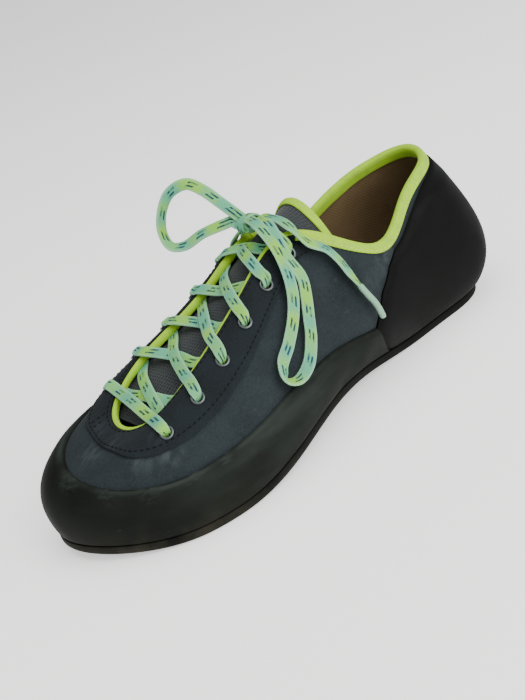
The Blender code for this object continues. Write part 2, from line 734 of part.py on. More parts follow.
def over_facing(side, k, start, end):
    """Lace on the eyestay, halfway from an eyelet to the throat's edge."""
    share = (eyelet_place(side, k)[1] + 1) / 2
    ribs = np.linspace(*EDGE_RIBS[side], EDGE_STEPS + 1)
    rib = ribs[nearest_to_line(surface(ribs, share), start, end)]
    return skin(rib, share, EYELET_TOP + LACE_LIFT + LACE_THICKNESS / 2), normal(rib, share)


def station_on_line(across, start, end):
    """Tongue station at which a straight lace passes a place across the tongue."""
    stations = np.linspace(0, len(TONGUE) - 1, MEASURE_STEPS + 1)
    points = np.array([tongue_span(station, across) for station in stations])
    return stations[nearest_to_line(points, start, end)]


def on_tongue(station, across, lift=LACE_LIFT):
    """Lace lying over the tongue."""
    step = TONGUE_STEP
    back = tongue_span(station + step, across) - tongue_span(station - step, across)
    inward = tongue_span(station, across + step) - tongue_span(station, across - step)
    way = unit(np.cross(back, inward))
    return tongue_span(station, across) + way * (lift + LACE_THICKNESS / 2), way


def strip_sections(keys):
    """Flat lace through key places, each a point and the way its face looks."""
    points = np.array([point for point, _ in keys])
    ways = np.array([way for _, way in keys])
    run = np.linalg.norm(np.diff(points, axis=0), axis=1).sum()
    path = smooth_path(points, run / (STRIP_POINTS * (len(points) - 1)))
    places = np.linspace(0, len(ways) - 1, len(path))
    faces = unit(np.stack([np.interp(places, range(len(ways)), ways[:, axis]) for axis in range(3)], -1))
    along = unit(np.gradient(path, axis=0))
    side = unit(np.cross(along, faces))
    face = np.cross(side, along)
    half, thick = LACE_WIDTH / 2, LACE_THICKNESS / 2
    flat = LACE_EDGE_WIDTH * half
    outline = ((half, 0), (flat, thick), (-flat, thick), (-half, 0), (-flat, -thick), (flat, -thick))
    return np.array([[p + s * a + f * b for a, b in outline] for p, s, f in zip(path, side, face)])


def crossing_keys(side, k):
    """One straight lace from an eyelet over its own edge, across the tongue, to just under the other edge."""
    other = "medial" if side == "lateral" else "lateral"
    line = eyelet_seat(side, k)[0], eyelet_seat(other, k + 1)[0]
    lying = [on_tongue(station_on_line(across, *line), across) for across in CROSSING_ACROSS[side]]
    if k == 0:
        return lying
    return [over_eyelet(side, k), over_facing(side, k, *line), over_edge(side, *line)] + lying[1:]


def make_lacing():
    finish = ("lace_braid", LACE_CORD)
    line = eyelet_seat("lateral", 0)[0], eyelet_seat("medial", 0)[0]
    outer, inner = over_edge("lateral", *line), over_edge("medial", *line)
    way = unit(outer[1] + inner[1])
    arch = (outer[0] + inner[0]) / 2 + BAR_ARCH * way, way
    bar = [over_eyelet("lateral", 0), over_facing("lateral", 0, *line), outer, arch, inner]
    bar += [over_facing("medial", 0, *line), over_eyelet("medial", 0)]
    sweep("lace_bar", strip_sections(bar), finish)
    for k in range(EYELET_PAIRS - 1):
        piece = sweep(f"lace_cross_{k + 1}", strip_sections(crossing_keys("lateral", k)), finish)
        other = sweep(f"lace_cross_{k + 1}_other", strip_sections(crossing_keys("medial", k)), None)
        combine(piece, other, "UNION")


def knot_centre():
    middle = (surface(KNOT_RIBS[0], 1.0) + surface(KNOT_RIBS[1], 1.0)) / 2
    return middle + np.array(KNOT_STEP)


def make_knot():
    """Knot lump, joined to the two laces that rise to it from the top eyelets."""
    bm = bmesh.new()
    around, along = KNOT_SEGMENTS
    bmesh.ops.create_uvsphere(bm, u_segments=around, v_segments=along, radius=1.0)
    bmesh.ops.scale(bm, vec=KNOT_SIZE, verts=bm.verts)
    bmesh.ops.translate(bm, vec=knot_centre(), verts=bm.verts)
    knot = add_mesh("lace_knot", bm, ("lace_braid", LACE_CORD))
    for side in ("lateral", "medial"):
        start, way = over_eyelet(side, EYELET_PAIRS - 1)
        edge, edge_way = over_edge(side, eyelet_seat(side, EYELET_PAIRS - 1)[0], knot_centre())
        end = knot_centre(), np.array([0.0, 0.0, 1.0])
        keys = [(start, way), (edge + RISE_LIFT * edge_way, edge_way), end]
        combine(knot, sweep(f"lace_rise_{side}", strip_sections(keys), None), "UNION")


def make_cord(name, route):
    curve = bpy.data.curves.new(name, "CURVE")
    curve.dimensions = "3D"
    curve.bevel_depth = CORD_RADIUS
    curve.bevel_resolution = 1
    curve.use_fill_caps = True
    path = smooth_path(route, CORD_STEP)
    spline = curve.splines.new("POLY")
    spline.points.add(len(path) - 1)
    for point, place in zip(spline.points, path):
        point.co = (*place, 1.0)
    add_piece(name, curve, ("lace_braid", LACE_CORD))


def make_bow():
    centre = knot_centre()
    for name, (leaving, lying, returning) in BOW.items():
        route = [centre + np.array(step) * MM for step in leaving]
        route += [skin(rib, share, lift * MM) for rib, share, lift in lying]
        route += [centre + np.array(step) * MM for step in returning]
        make_cord(name, route)


def stand_on_origin():
    """Move the shoe so that its box, without the bow, stands centred on the origin."""
    bow = set(BOW) | {"lace_knot"}
    bpy.context.view_layer.update()
    solids = [piece for piece in SHOE.children if piece.name not in bow and not piece.hide_render]
    corners = [piece.matrix_world @ Vector(corner) for piece in solids for corner in piece.bound_box]
    low = np.min(corners, axis=0)
    high = np.max(corners, axis=0)
    SHOE.location = (-(low[0] + high[0]) / 2, -(low[1] + high[1]) / 2, -low[2])


make_outsole()
make_insole()
upper = make_upper()
make_rand()
make_heel_rand()
eyestay = make_eyestay()
edge_channel("collar_binding", THROAT_INNER - ROWS, THROAT_OUTER, COLLAR_CHANNEL)
edge_channel("throat_binding", THROAT_OUTER, THROAT_INNER, THROAT_CHANNEL)
make_tongue()
make_tongue_binding()
make_eyelets((upper, eyestay))
make_lacing()
make_knot()
make_bow()
stand_on_origin()
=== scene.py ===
"""A left climbing shoe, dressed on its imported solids.

Cloth upper with a tan lining, rubber sole and rands, black eyestay, lime bindings and a flat flecked lace.
As in the solids, a place on the last is a rib number, from the heel round the outer side to the toe and
back, and a share of the way up that rib. Sizes are in metres, and tables that say so are in millimetres.
"""

import math

import bmesh
import bpy
import numpy as np
from mathutils import Matrix, Vector


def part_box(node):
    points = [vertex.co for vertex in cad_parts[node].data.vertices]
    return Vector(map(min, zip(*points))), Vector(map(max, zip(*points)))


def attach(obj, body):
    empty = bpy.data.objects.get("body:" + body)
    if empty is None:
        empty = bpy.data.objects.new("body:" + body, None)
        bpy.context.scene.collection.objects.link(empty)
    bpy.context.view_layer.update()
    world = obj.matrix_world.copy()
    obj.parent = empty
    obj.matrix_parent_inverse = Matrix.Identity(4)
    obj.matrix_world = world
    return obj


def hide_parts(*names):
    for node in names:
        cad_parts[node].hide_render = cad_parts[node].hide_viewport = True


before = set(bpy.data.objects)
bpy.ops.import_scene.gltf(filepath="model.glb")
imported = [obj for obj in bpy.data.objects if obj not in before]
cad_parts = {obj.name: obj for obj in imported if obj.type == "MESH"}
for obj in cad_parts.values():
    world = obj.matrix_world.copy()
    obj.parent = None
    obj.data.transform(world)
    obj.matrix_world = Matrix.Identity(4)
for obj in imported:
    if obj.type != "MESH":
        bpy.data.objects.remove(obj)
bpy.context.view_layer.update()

MM = 0.001
# The wave texture repeats every 2 pi / 20 at a scale of 1
WAVE_SCALE = 2 * math.pi / 20
UP = np.array([0.0, 0.0, 1.0])

# The last, in millimetres and shares: the table of the solids
COLUMNS = (
    "along", "across", "rise", "flare", "edge_along", "edge_across", "edge_height",
    "shoulder", "drop", "rand_top",
)
LAST = {
    "heel_back": (5.0, 0, 21, 23.5, 4.5, 0, 77, 14, 30, 0.36),
    "heel_outer_corner": (11.0, 20.8, 18, 21, 14.5, 16.5, 74, 11.5, 30, 0.36),
    "heel_outer": (39, 23.2, 17, 18.5, 42.5, 25.5, 68, 8, 24, 0.36),
    "waist_outer": (90, 24, 16, 17, 73.5, 31, 59.5, 6, 16, 0.36),
    "instep_outer": (140, 36, 14, 13, 106, 20, 82, 22, 22, 0.37),
    "ball_outer": (178, 41.5, 18, 10.5, 141, 17, 71, 28, 14, 0.37),
    "toes_outer": (212, 34.5, 24, 8, 175, 17.5, 55.5, 24, 9, 0.345),
    "toe_outer_corner": (235, 15, 28, 8, 200, 13, 44.5, 22, 5, 0.41),
    "toe_tip": (245, -8, 30, 8, 208, -2, 42, 24, 3, 0.56),
    "toe_inner_corner": (238, -29, 28, 8, 199, -15, 47, 25, 4, 0.64),
    "toes_inner": (216, -40, 26, 8, 175, -16.5, 57.5, 26, 8, 0.60),
    "ball_inner": (182, -40, 20, 10, 142, -10, 69, 29, 12, 0.50),
    "instep_inner": (145, -31, 16, 12, 108, -10, 80, 22, 20, 0.43),
    "waist_inner": (95, -22, 16, 13, 76, -28, 62, 6, 16, 0.38),
    "heel_inner": (41, -21.5, 18, 17, 43, -25, 69, 7, 24, 0.36),
    "heel_inner_corner": (14, -18.5, 19, 21, 15, -16.5, 74.5, 12, 30, 0.36),
}
ROWS = len(LAST)
RIB_STEP = 0.001
SHORT_RIB = 16 * MM
LONG_RIB = 30 * MM
LEVEL_SHARE = 0.12
THROAT_OUTER = 4.0
THROAT_INNER = 12.0
LENGTH = 250 * MM

# Sole and footbed
SOLE_THICKNESS = 4.2 * MM
SOLE_STEP = 2.6 * MM
SOLE_EDGE_RADIUS = 1.5 * MM
FEATHER_GAP = 0.3 * MM
ARCH_OUTER = 7.2 * MM
ARCH_INNER = 10.0 * MM
ARCH_FROM = 54 * MM
ARCH_TO = 196 * MM
ARCH_WIDTH = 61.6 * MM
TOE_SPRING = 5.2 * MM
TOE_SPRING_FROM = 208 * MM
HEEL_ROUND = 3.0 * MM
HEEL_ROUND_FROM = 30 * MM
FOOTBED_INSET = 5.4 * MM
FOOTBED_HEIGHT = 4.65 * MM
FOOTBED_THICKNESS = 2.5 * MM
FOOTBED_EDGE_RADIUS = 0.8 * MM
# Upper edge of both, as shares of the radius of the lower one
SLAB_BEVEL = 0.4
SLAB_BLUNT = 0.12

# Upper, rands and eyestay; outlines are (up the piece, out from the last) in millimetres
CLOTH_WALL = 1.1 * MM
LINING_FACES = (-1.15 * MM, -2.0 * MM)
RAND_OUTLINE = ((0, 0.12), (0, 2.45), (26, 2.45), (29.4, 1.45), (30, 0.12))
HEEL_RAND_OUTLINE = ((0, 0.12), (0, 2.45), (53, 2.45), (59.3, 1.45), (60, 0.12))
SEAT_ON_SOLE = 0.22 * MM
FOOT_SHARE = 1e-6
SEAM_SHARES = (0.0, 0.36, 0.60, 0.78, 0.88)
SEAM_RIBS = (2.80, 3.16, 3.10, 2.92, 2.68)
SEAM_GAP = 0.004
HEEL_RAND_RIBS = (0.0, 1.0, 1.5, 1.85, 2.4, 2.7)
HEEL_RAND_SHARES = (0.95, 0.95, 0.942, 0.91, 0.89, 0.88)
HEEL_RAND_SPREAD = 0.25
# The heel rubber thins towards its ends: share of its run from an end, share of its thickness
SKIVE_RUN = (0, 0.015, 0.035)
SKIVE = (0.4, 0.85, 1.0)
EYESTAY_FROM = 3.8
EYESTAY_SPREAD = 0.22
# Width of the eyestay from the throat's edge, in millimetres, rib by rib
EYESTAY_WIDTHS = {
    3.8: 7, 3.9: 11, 4.0: 14, 4.15: 17, 4.4: 26, 4.7: 32, 5.1: 35, 5.5: 36.5, 5.85: 36, 6.3: 32, 6.7: 26,
    7.4: 15, 8.0: 12, 8.5: 11.5, 9.0: 15.5, 10.0: 22, 11.0: 22, 11.6: 18, 12.0: 15.5, 12.1: 11, 12.2: 7,
}
EYESTAY_EDGE_RIBS = (3.75, 4.0)
EYESTAY_EDGE = (2.2 * MM, 5.6 * MM)
EYESTAY_OUTLINE = ((0, 0.12), (0, 1.4), (24, 1.4), (24, 0.12))

# Creases: places (rib, share) along each, then half width and depth in millimetres; a ridge has minus depth
CREASES = {
    "over_rand_outer": (((8.3, 0.66), (7.6, 0.57), (6.9, 0.47), (6.1, 0.43), (5.3, 0.45)), 4.5, 0.8),
    "beside_eyestay": (((7.0, 0.58), (6.3, 0.54), (5.6, 0.53), (5.0, 0.54)), 4.0, -0.4),
    "ball_flex_outer": (((5.35, 0.43), (5.15, 0.55)), 6.0, 0.8),
    "ball_ridge_outer": (((5.02, 0.43), (4.88, 0.55)), 6.0, -0.6),
    "instep_outer": (((4.62, 0.46), (4.45, 0.62)), 7.0, 0.8),
    "waist_outer": (((3.75, 0.42), (3.55, 0.75)), 8.0, 0.9),
    "waist_ridge_outer": (((3.35, 0.45), (3.25, 0.80)), 6.0, -0.6),
    "ball_flex_inner": (((10.6, 0.55), (10.85, 0.70)), 6.0, 0.9),
    "waist_inner": (((12.3, 0.45), (12.5, 0.75)), 8.0, 0.9),
    "heel_inner": (((13.9, 0.55), (14.2, 0.9)), 7.0, 0.6),
    "toe_box_inner": (((9.3, 0.72), (9.9, 0.70)), 6.0, 0.5),
    "rand_side": (((4.7, 0.12), (4.5, 0.34)), 7.0, 0.7),
    "rand_waist": (((3.55, 0.10), (3.4, 0.34)), 6.0, 0.8),
}

# Rubbed places of the cloth, the rand and the eyestay: rib, share, radius in millimetres, strength
CLOTH_RUBS = (
    (6.3, 0.56, 9, 0.5), (6.7, 0.60, 8, 0.4), (8.0, 0.75, 9, 0.3),
    (2.9, 0.93, 8, 0.4), (2.95, 0.82, 9, 0.35), (3.2, 0.68, 9, 0.25),
)
RAND_RUBS = (
    (7.84, 0.50, 8, 0.525), (7.1, 0.40, 7, 0.45), (6.5, 0.36, 8, 0.6), (5.97, 0.33, 7, 0.75),
    (5.57, 0.35, 7, 0.525),
)
FACING_RUBS = ((6.5, 0.72, 8, 0.35), (7.6, 0.86, 7, 0.4), (8.4, 0.88, 7, 0.35))

# Folded edge tapes, as (out from the last, up from the edge) in millimetres
COLLAR_FOLD = (
    (0.2, -4.3), (0.75, -4.3), (0.9, -1.0), (0.6, 0.6), (-1.0, 1.2), (-2.6, 0.6), (-3.2, -1.0),
    (-3.2, -5.1), (-2.5, -5.1), (-2.3, 0.3), (0.2, 0.3),
)
THROAT_FOLD = (
    (0.2, -1.3), (0.8, -1.3), (1.0, 0.0), (0.5, 0.9), (-1.0, 1.3), (-2.6, 0.9), (-3.2, -0.4),
    (-3.2, -4.6), (-2.5, -4.6), (-2.3, 0.3), (0.2, 0.3),
)
TONGUE_FOLD = (
    (0.2, -4.2), (1.1, -4.1), (1.4, -0.2), (0.6, 1.3), (-1.5, 1.6), (-3.6, 1.3),
    (-4.4, -0.2), (-4.1, -4.1), (-3.3, -4.2), (-3.2, 0.3), (0.2, 0.3),
)
FOLD_BUTT = 0.015
TONGUE_FOLD_ACROSS = (0.03, 0.985)

# Tongue stations: outer rib, inner rib, height of the crown over the throat's edges, lift of the inner side
TONGUE = {
    "front": (7.35, 8.65, 0.5 * MM, 0.0),
    "toes": (6.60, 9.40, 1.5 * MM, 0.0),
    "ball": (5.80, 10.20, 2.0 * MM, 0.0),
    "instep": (4.90, 11.10, 2.5 * MM, 0.0),
    "throat_top": (4.10, 11.90, 4.0 * MM, 0.0),
    "collar": (3.75, 12.25, 8.5 * MM, 4.0 * MM),
    "top": (3.45, 12.55, 14.0 * MM, 11.0 * MM),
}
TONGUE_TOP = len(TONGUE) - 1
TONGUE_WALL = 3.0 * MM
TONGUE_DEPTH = 4.4 * MM
TONGUE_FLAPS = (13 * MM, 6.5 * MM)
TONGUE_STEP = 0.05
TONGUE_SPREAD = 0.35

# Eyelets: place on the eyestay, and the turned profile as (radius, height over the last) in millimetres
EYELET_PAIRS = 6
OTHER_SIDE = {"lateral": "medial", "medial": "lateral"}
EYELET_FIRST = {"lateral": 204.5 * MM, "medial": 194.5 * MM}
EYELET_PITCH = {"lateral": 17.9 * MM, "medial": 17.3 * MM}
EYELET_RIBS = {"lateral": (4.0, 7.6), "medial": (12.0, 8.4)}
EYELET_FROM_EDGE = {"lateral": (23.5, 22, 19.5, 18, 15.5, 9.5), "medial": (13, 11.5, 11, 10, 9.5, 8.5)}
EYELET_HOLE = 2.35 * MM
EYELET_PROFILE = (
    (2.0, -2.4), (2.0, 1.65), (2.2, 2.05), (2.6, 2.2), (2.95, 2.05), (3.1, 1.7), (3.0, 1.5), (2.5, 1.45),
    (2.25, 1.4), (2.25, -2.4),
)
EYELET_STEPS = 24
DRILL_DEPTH = 14 * MM

# Lace
LACE_WIDTH = 5.4 * MM
LACE_THICKNESS = 1.5 * MM
LACE_CORNERS = 14
LACE_STEP = 1.0 * MM
LACE_LIFT = 1.1 * MM
LACE_OVER_LACE = 1.7 * MM
LACE_OVER_EDGE = 2.5 * MM
LACE_OVER_EYELET = 3.1 * MM
LACE_ON_FACING = 2.4 * MM
LACE_IN_HOLE = 0.6 * MM
LACE_UNDER_WALL = 3.2 * MM
LACE_TURN = 2.6 * MM
LACE_SQUARENESS = 0.75
# Share of the lace's width in an eyelet, beside it under and over the wall, and in the knot
EYELET_SQUEEZE = 0.66
SQUEEZE_UNDER = 0.9
SQUEEZE_OVER = 0.95
KNOT_SQUEEZE = 0.95
CROSSING_ACROSS = {"lateral": (0.16, 0.84), "medial": (0.84, 0.16)}
EDGE_RIBS = {"lateral": (THROAT_OUTER, ROWS / 2), "medial": (THROAT_INNER, ROWS / 2)}
BAR_ARCH = 0.8 * MM
KNOT_RIBS = (4.12, 11.88)
KNOT_STEP = np.array([1, -5, 7]) * MM
AGLET_LENGTH = 20 * MM
AGLET_RADIUS = 1.45 * MM
AGLET_CORNERS = 14
AGLET_TAPER = 0.8
LACE_IN_AGLET = 0.42
LACE_NARROWS = (-1 * MM, 6 * MM)
LOOP_TILT = math.radians(50)
LOOP_FACING = np.array([0.45, 0.6, 0.66])
BOW_FACING = {"lace_loop_medial": LOOP_FACING}
END_TURN = {"lace_end_lateral": math.radians(-32)}
END_TURN_KEYS = 4

# The bow's routes, as in the solids: steps from the knot, and (rib, share, lift), in millimetres
BOW = {
    "lace_loop_lateral": (
        ((5, 8.8, 4), (8, 15.5, 4)),
        ((4.33, 0.94, 8), (4.24, 0.83, 6.5), (4.20, 0.73, 5), (4.26, 0.64, 4.5), (4.40, 0.56, 4),
         (4.55, 0.51, 4), (4.55, 0.44, 4), (4.40, 0.40, 4), (4.21, 0.42, 4), (4.08, 0.51, 4),
         (4.05, 0.60, 4.5), (4.03, 0.69, 5), (4.05, 0.77, 6)),
        ((9.3, 28.7, -9), (5, 19, 2.2), (1.5, 9.5, 2.6)),
    ),
    "lace_end_lateral": (
        ((-3.5, 8.8, 1.5), (-4, 16, 0), (-3, 23.6, -3.7)),
        ((3.90, 0.93, 5), (3.68, 0.91, 4), (3.54, 0.86, 3.8), (3.44, 0.77, 4), (3.35, 0.66, 4.2),
         (3.26, 0.56, 4.6), (3.19, 0.46, 5.2)),
        (),
    ),
    "lace_loop_medial": (
        ((1.3, -5.4, 5), (3.6, -11, 12), (5.8, -16.4, 18.4), (8.9, -22.5, 22.8), (14.7, -28.8, 20.9),
         (20, -32.1, 13.9), (23.4, -32.3, 5.4), (23.6, -29.3, -1), (20.1, -24.3, -2.3)),
        (),
        ((13.7, -17.7, 0.6), (8.3, -11.5, 1.9), (5.5, -8.8, 2.2)),
    ),
    "lace_end_medial": (
        ((-4, -8.8, 0.5), (-9, -14, -2)),
        ((12.34, 0.93, 6), (12.42, 0.84, 5), (12.48, 0.72, 4.5), (12.52, 0.60, 4.5), (12.54, 0.48, 5)),
        (),
    ),
}
# Turns of lace in the knot: radii along and up in millimetres, drift across, from and to in degrees
KNOT_TURNS = {
    "wrap": (5.2, 3.3, (-1.0, 1.2), (-60, 330)),
    "under_wrap": (4.0, 2.4, (3.6, -3.4), (-150, 170)),
}
# Strands through the knot: the way the inner end faces, and steps from one exit to another in millimetres
KNOT_TAILS = (
    (UP, ((-4, -8.8, 0.5), (-2.2, -6.8, 1.2), (-1, -3, -1.5), (0.2, 3, -0.8), (0.4, 6.5, 2.2),
          (1.5, 9.5, 2.6))),
    (LOOP_FACING, ((5.5, -8.8, 2.2), (3.6, -6.9, 2.3), (2.5, -3, -0.5), (-1.5, 3, -0.6), (-3.2, 5.6, 1.6),
                   (-3.5, 8.8, 1.5))),
    (LOOP_FACING, ((1.3, -5.4, 5), (0.6, -3.6, 2.6), (1.6, 0, 1.2), (3.3, 5, 3.6), (5, 8.8, 4))),
)

# Fineness of the meshes
UPPER_STATIONS = 256
UPPER_SHARES = 52
RAND_STATIONS = 220
HEEL_STATIONS = 150
EYESTAY_STATIONS = 200
FOLD_STATIONS = 200
SOLE_STATIONS = 150
TONGUE_STATIONS = 61
TONGUE_ACROSS = 41
TONGUE_SPAN_POINTS = 9
TONGUE_PATH_STEP = 0.5 * MM
TONGUE_TAPE_STATIONS = 61
SLAB_COLUMNS = 15
SLAB_EDGE_CORNERS = 5
KNOT_POINTS = 13
# Corner radius and longest side of the outlines, in millimetres
RAND_FINENESS = (0.7, 1.4)
HEEL_FINENESS = (0.7, 2.0)
EYESTAY_FINENESS = (0.6, 1.5)
TAPE_FINENESS = (0.6, 1.1)
SMOOTH_BELOW = math.radians(40)
MERGE = 0.004 * MM
MEASURE_STEPS = 60
EDGE_STEPS = 400
CURVE_STEPS = 14
SOFT_STEPS = 9

# Stitches
STITCH_LENGTH = 1.9 * MM
STITCH_PITCH = 2.7 * MM
STITCH_RADIUS = 0.32 * MM
STITCH_FLAT = 0.8
STITCH_SIDES = 6
STITCH_RINGS = 4
EYESTAY_STITCH_UPS = (0.13, 0.9)
EYESTAY_STITCH_OUT = 1.45 * MM
EYESTAY_STITCH_END = 0.05
TOE_STITCH_RIBS = (8.62, 8.8)
TOE_STITCH_SPAN = (0.2, 0.85)
COLLAR_STITCH_BELOW = 3.1 * MM
COLLAR_STITCH_OUT = 0.85 * MM
COLLAR_STITCH_END = 0.1
STITCH_LINE_POINTS = 400
TOE_STITCH_POINTS = 30
COLLAR_LINE_POINTS = 500

# Camera: the photo's angle, roll and distance, drawn closer so that the shoe fills the frame
PHOTO_HEIGHT = 700
CAMERA_AIM = np.array([129.1, 0, 33.3]) * MM
CAMERA_AZIMUTH = math.radians(54.84)
CAMERA_ELEVATION = math.radians(24.22)
CAMERA_ROLL = math.radians(-20.41)
CAMERA_DISTANCE = 550 * MM
CAMERA_FOCAL = 734 * 1.66
SENSOR = 36

# Floor and light; lamps are place, size and power
FLOOR_SIZE = 4.0
FLOOR_GLOW = 0.7
WORLD_LIGHT = 0.5
LAMPS = {
    "overhead": ((0.0, 0.1, 1.2), 1.2, 11.0),
    "side": ((-0.1, 1.1, 0.75), 1.0, 17.0),
    "front": ((0.9, 0.5, 0.7), 0.7, 1.2),
}


def ring_bends(values):
    """Second differences of a closed cubic spline through evenly spaced values."""
    count = len(values)
    matrix = 4 * np.eye(count) + np.roll(np.eye(count), 1, 0) + np.roll(np.eye(count), -1, 0)
    return np.linalg.solve(matrix, 6 * (np.roll(values, 1) - 2 * values + np.roll(values, -1)))


CURVES = {}
for number, column in enumerate(COLUMNS):
    sizes = np.array([row[number] for row in LAST.values()], float) * (1 if column == "rand_top" else MM)
    CURVES[column] = (sizes, ring_bends(sizes))


def column_at(column, rib):
    """Value of one column at any rib, on the closed spline through its rows."""
    values, bends = CURVES[column]
    rib = np.asarray(rib, float) % ROWS
    low = np.floor(rib).astype(int) % ROWS
    high = (low + 1) % ROWS
    part = rib - np.floor(rib)
    rest = 1 - part
    bend = (rest**3 - rest) * bends[low] + (part**3 - part) * bends[high]
    return rest * values[low] + part * values[high] + bend / 6


def stack(x, y, z):
    return np.stack(np.broadcast_arrays(x, y, z), -1).astype(float)


def unit(vectors):
    return vectors / np.linalg.norm(vectors, axis=-1, keepdims=True)


def softened(x, places, values, spread):
    """Value between table places, with the table's corners rounded over a spread."""
    shifts = np.linspace(-spread, spread, SOFT_STEPS)
    return sum(np.interp(x + shift, places, values) for shift in shifts) / SOFT_STEPS


def distances(points, power=1):
    """Distance along a line of points to each of them; a power evens out its long and short steps."""
    steps = np.linalg.norm(np.diff(points, axis=0), axis=-1) ** power
    return np.concatenate([0 * steps[:1], np.cumsum(steps, axis=0)])


def between(place, places, vectors):
    """Point or direction between those of a table."""
    return np.stack([np.interp(place, places, part) for part in np.transpose(vectors)], -1)


def sole_lift(x, y):
    """Height of the sole's underside: flat at heel and forefoot, with arch, toe spring and round heel."""
    arch = np.clip((x - ARCH_FROM) / (ARCH_TO - ARCH_FROM), 0, 1)
    side = np.clip(0.5 - y / ARCH_WIDTH, 0, 1)
    toe = np.clip((x - TOE_SPRING_FROM) / (LENGTH - TOE_SPRING_FROM), 0, None)
    heel = np.clip((HEEL_ROUND_FROM - x) / HEEL_ROUND_FROM, 0, None)
    rise = ARCH_OUTER + (ARCH_INNER - ARCH_OUTER) * side
    return rise * np.sin(math.pi * arch) ** 2 + TOE_SPRING * toe**2 + HEEL_ROUND * heel**2


def outward(rib):
    """Level direction out of the feather line at a rib."""
    along = column_at("along", rib + RIB_STEP) - column_at("along", rib - RIB_STEP)
    across = column_at("across", rib + RIB_STEP) - column_at("across", rib - RIB_STEP)
    return unit(stack(-across, along, 0.0))


def feather(rib, out=0.0):
    """Point of the feather line, moved out level, just above the edge of the sole."""
    line = stack(column_at("along", rib), column_at("across", rib), SOLE_THICKNESS + FEATHER_GAP)
    edge = line + SOLE_STEP * outward(rib)
    line[..., 2] += sole_lift(edge[..., 0], edge[..., 1])
    return line + np.asarray(out)[..., None] * outward(rib)


def surface(rib, share):
    """Outer surface of the last: a cubic rib from the feather line to the edge of the opening."""
    rib, share = np.broadcast_arrays(np.asarray(rib, float), np.asarray(share, float))
    out = outward(rib)
    foot = feather(rib)
    edge = stack(column_at("edge_along", rib), column_at("edge_across", rib), column_at("edge_height", rib))
    down_rib = (foot - edge) * np.array([1.0, 1.0, 0.0])
    run = np.linalg.norm(down_rib, axis=-1, keepdims=True)
    weight = np.clip((run - SHORT_RIB) / (LONG_RIB - SHORT_RIB), 0, 1)
    lean = unit(down_rib / run * weight + out * (1 - weight))
    low = foot + UP * column_at("rise", rib)[..., None] + out * column_at("flare", rib)[..., None]
    high = edge - UP * column_at("drop", rib)[..., None] + lean * column_at("shoulder", rib)[..., None]
    t = share[..., None]
    s = 1 - t
    return s**3 * foot + 3 * s * s * t * low + 3 * s * t * t * high + t**3 * edge


def up_rib(rib, share):
    """Direction up the rib, towards the edge of the opening."""
    high, low = np.clip(share + RIB_STEP, 0, 1), np.clip(share - RIB_STEP, 0, 1)
    return unit(surface(rib, high) - surface(rib, low))


def normal(rib, share):
    """Direction out of the last's surface."""
    round_shoe = surface(rib + RIB_STEP, share) - surface(rib - RIB_STEP, share)
    return unit(np.cross(up_rib(rib, share), round_shoe))


def edge_up(rib):
    """Direction up out of the edge of the opening, square to that edge."""
    along_edge = surface(rib + RIB_STEP, 1.0) - surface(rib - RIB_STEP, 1.0)
    return unit(np.cross(along_edge, normal(rib, 1.0)))


def way_out(rib, share):
    """Way out of the shoe: level at the feather line, square to the surface from a little above it."""
    part = np.clip(share / LEVEL_SHARE, 0, 1)[..., None]
    part = part * part * (3 - 2 * part)
    return unit(outward(rib) * (1 - part) + normal(rib, share) * part)


def relief(points):
    """Depth of the creases at points of the last: soft troughs and ridges along lines of places."""
    rise = np.zeros(points.shape[:-1])
    for line, width, depth in CREASES.values():
        places = [surface(*place) for place in line]
        away = np.full(points.shape[:-1], np.inf)
        for first, last in zip(places, places[1:]):
            run = last - first
            part = np.clip((points - first) @ run / (run @ run), 0, 1)
            away = np.minimum(away, np.linalg.norm(points - first - part[..., None] * run, axis=-1))
        rise -= depth * MM * np.exp(-((away / (width * MM)) ** 2))
    return rise


def skin(rib, share, out=0.0):
    """Point of the creased last, moved out."""
    rib, share, out = np.broadcast_arrays(*(np.asarray(value, float) for value in (rib, share, out)))
    points = surface(rib, share)
    return points + (out + relief(points))[..., None] * way_out(rib, share)


def share_below_edge(rib, distance):
    """Share of the rib that lies a distance along it below the edge of the opening."""
    rib, distance = np.broadcast_arrays(np.asarray(rib, float), np.asarray(distance, float))
    shares = np.linspace(1, 0, MEASURE_STEPS + 1)
    points = surface(rib[..., None], shares)
    steps = np.linalg.norm(np.diff(points, axis=-2), axis=-1)
    runs = np.concatenate([np.zeros(rib.shape + (1,)), np.cumsum(steps, -1)], -1)
    flat = [np.interp(d, run, shares) for d, run in zip(distance.ravel(), runs.reshape(-1, len(shares)))]
    return np.array(flat).reshape(rib.shape)


def smooth_path(points, step):
    """Points a step apart on a smooth curve through a route, and where each lies in the route's own count."""
    points = np.asarray(points, float)
    knots = distances(points, 0.5)
    slopes = np.gradient(points, knots, axis=0)
    count = np.linspace(0, len(points) - 1, (len(points) - 1) * CURVE_STEPS + 1)
    low = np.minimum(count.astype(int), len(points) - 2)
    t = (count - low)[:, None]
    gap = np.diff(knots)[low][:, None]
    fine = (
        (2 * t**3 - 3 * t**2 + 1) * points[low] + (t**3 - 2 * t**2 + t) * gap * slopes[low]
        + (3 * t**2 - 2 * t**3) * points[low + 1] + (t**3 - t**2) * gap * slopes[low + 1]
    )
    runs = distances(fine)
    places = np.linspace(0, runs[-1], max(3, round(runs[-1] / step) + 1))
    return between(places, runs, fine), np.interp(places, runs, count)


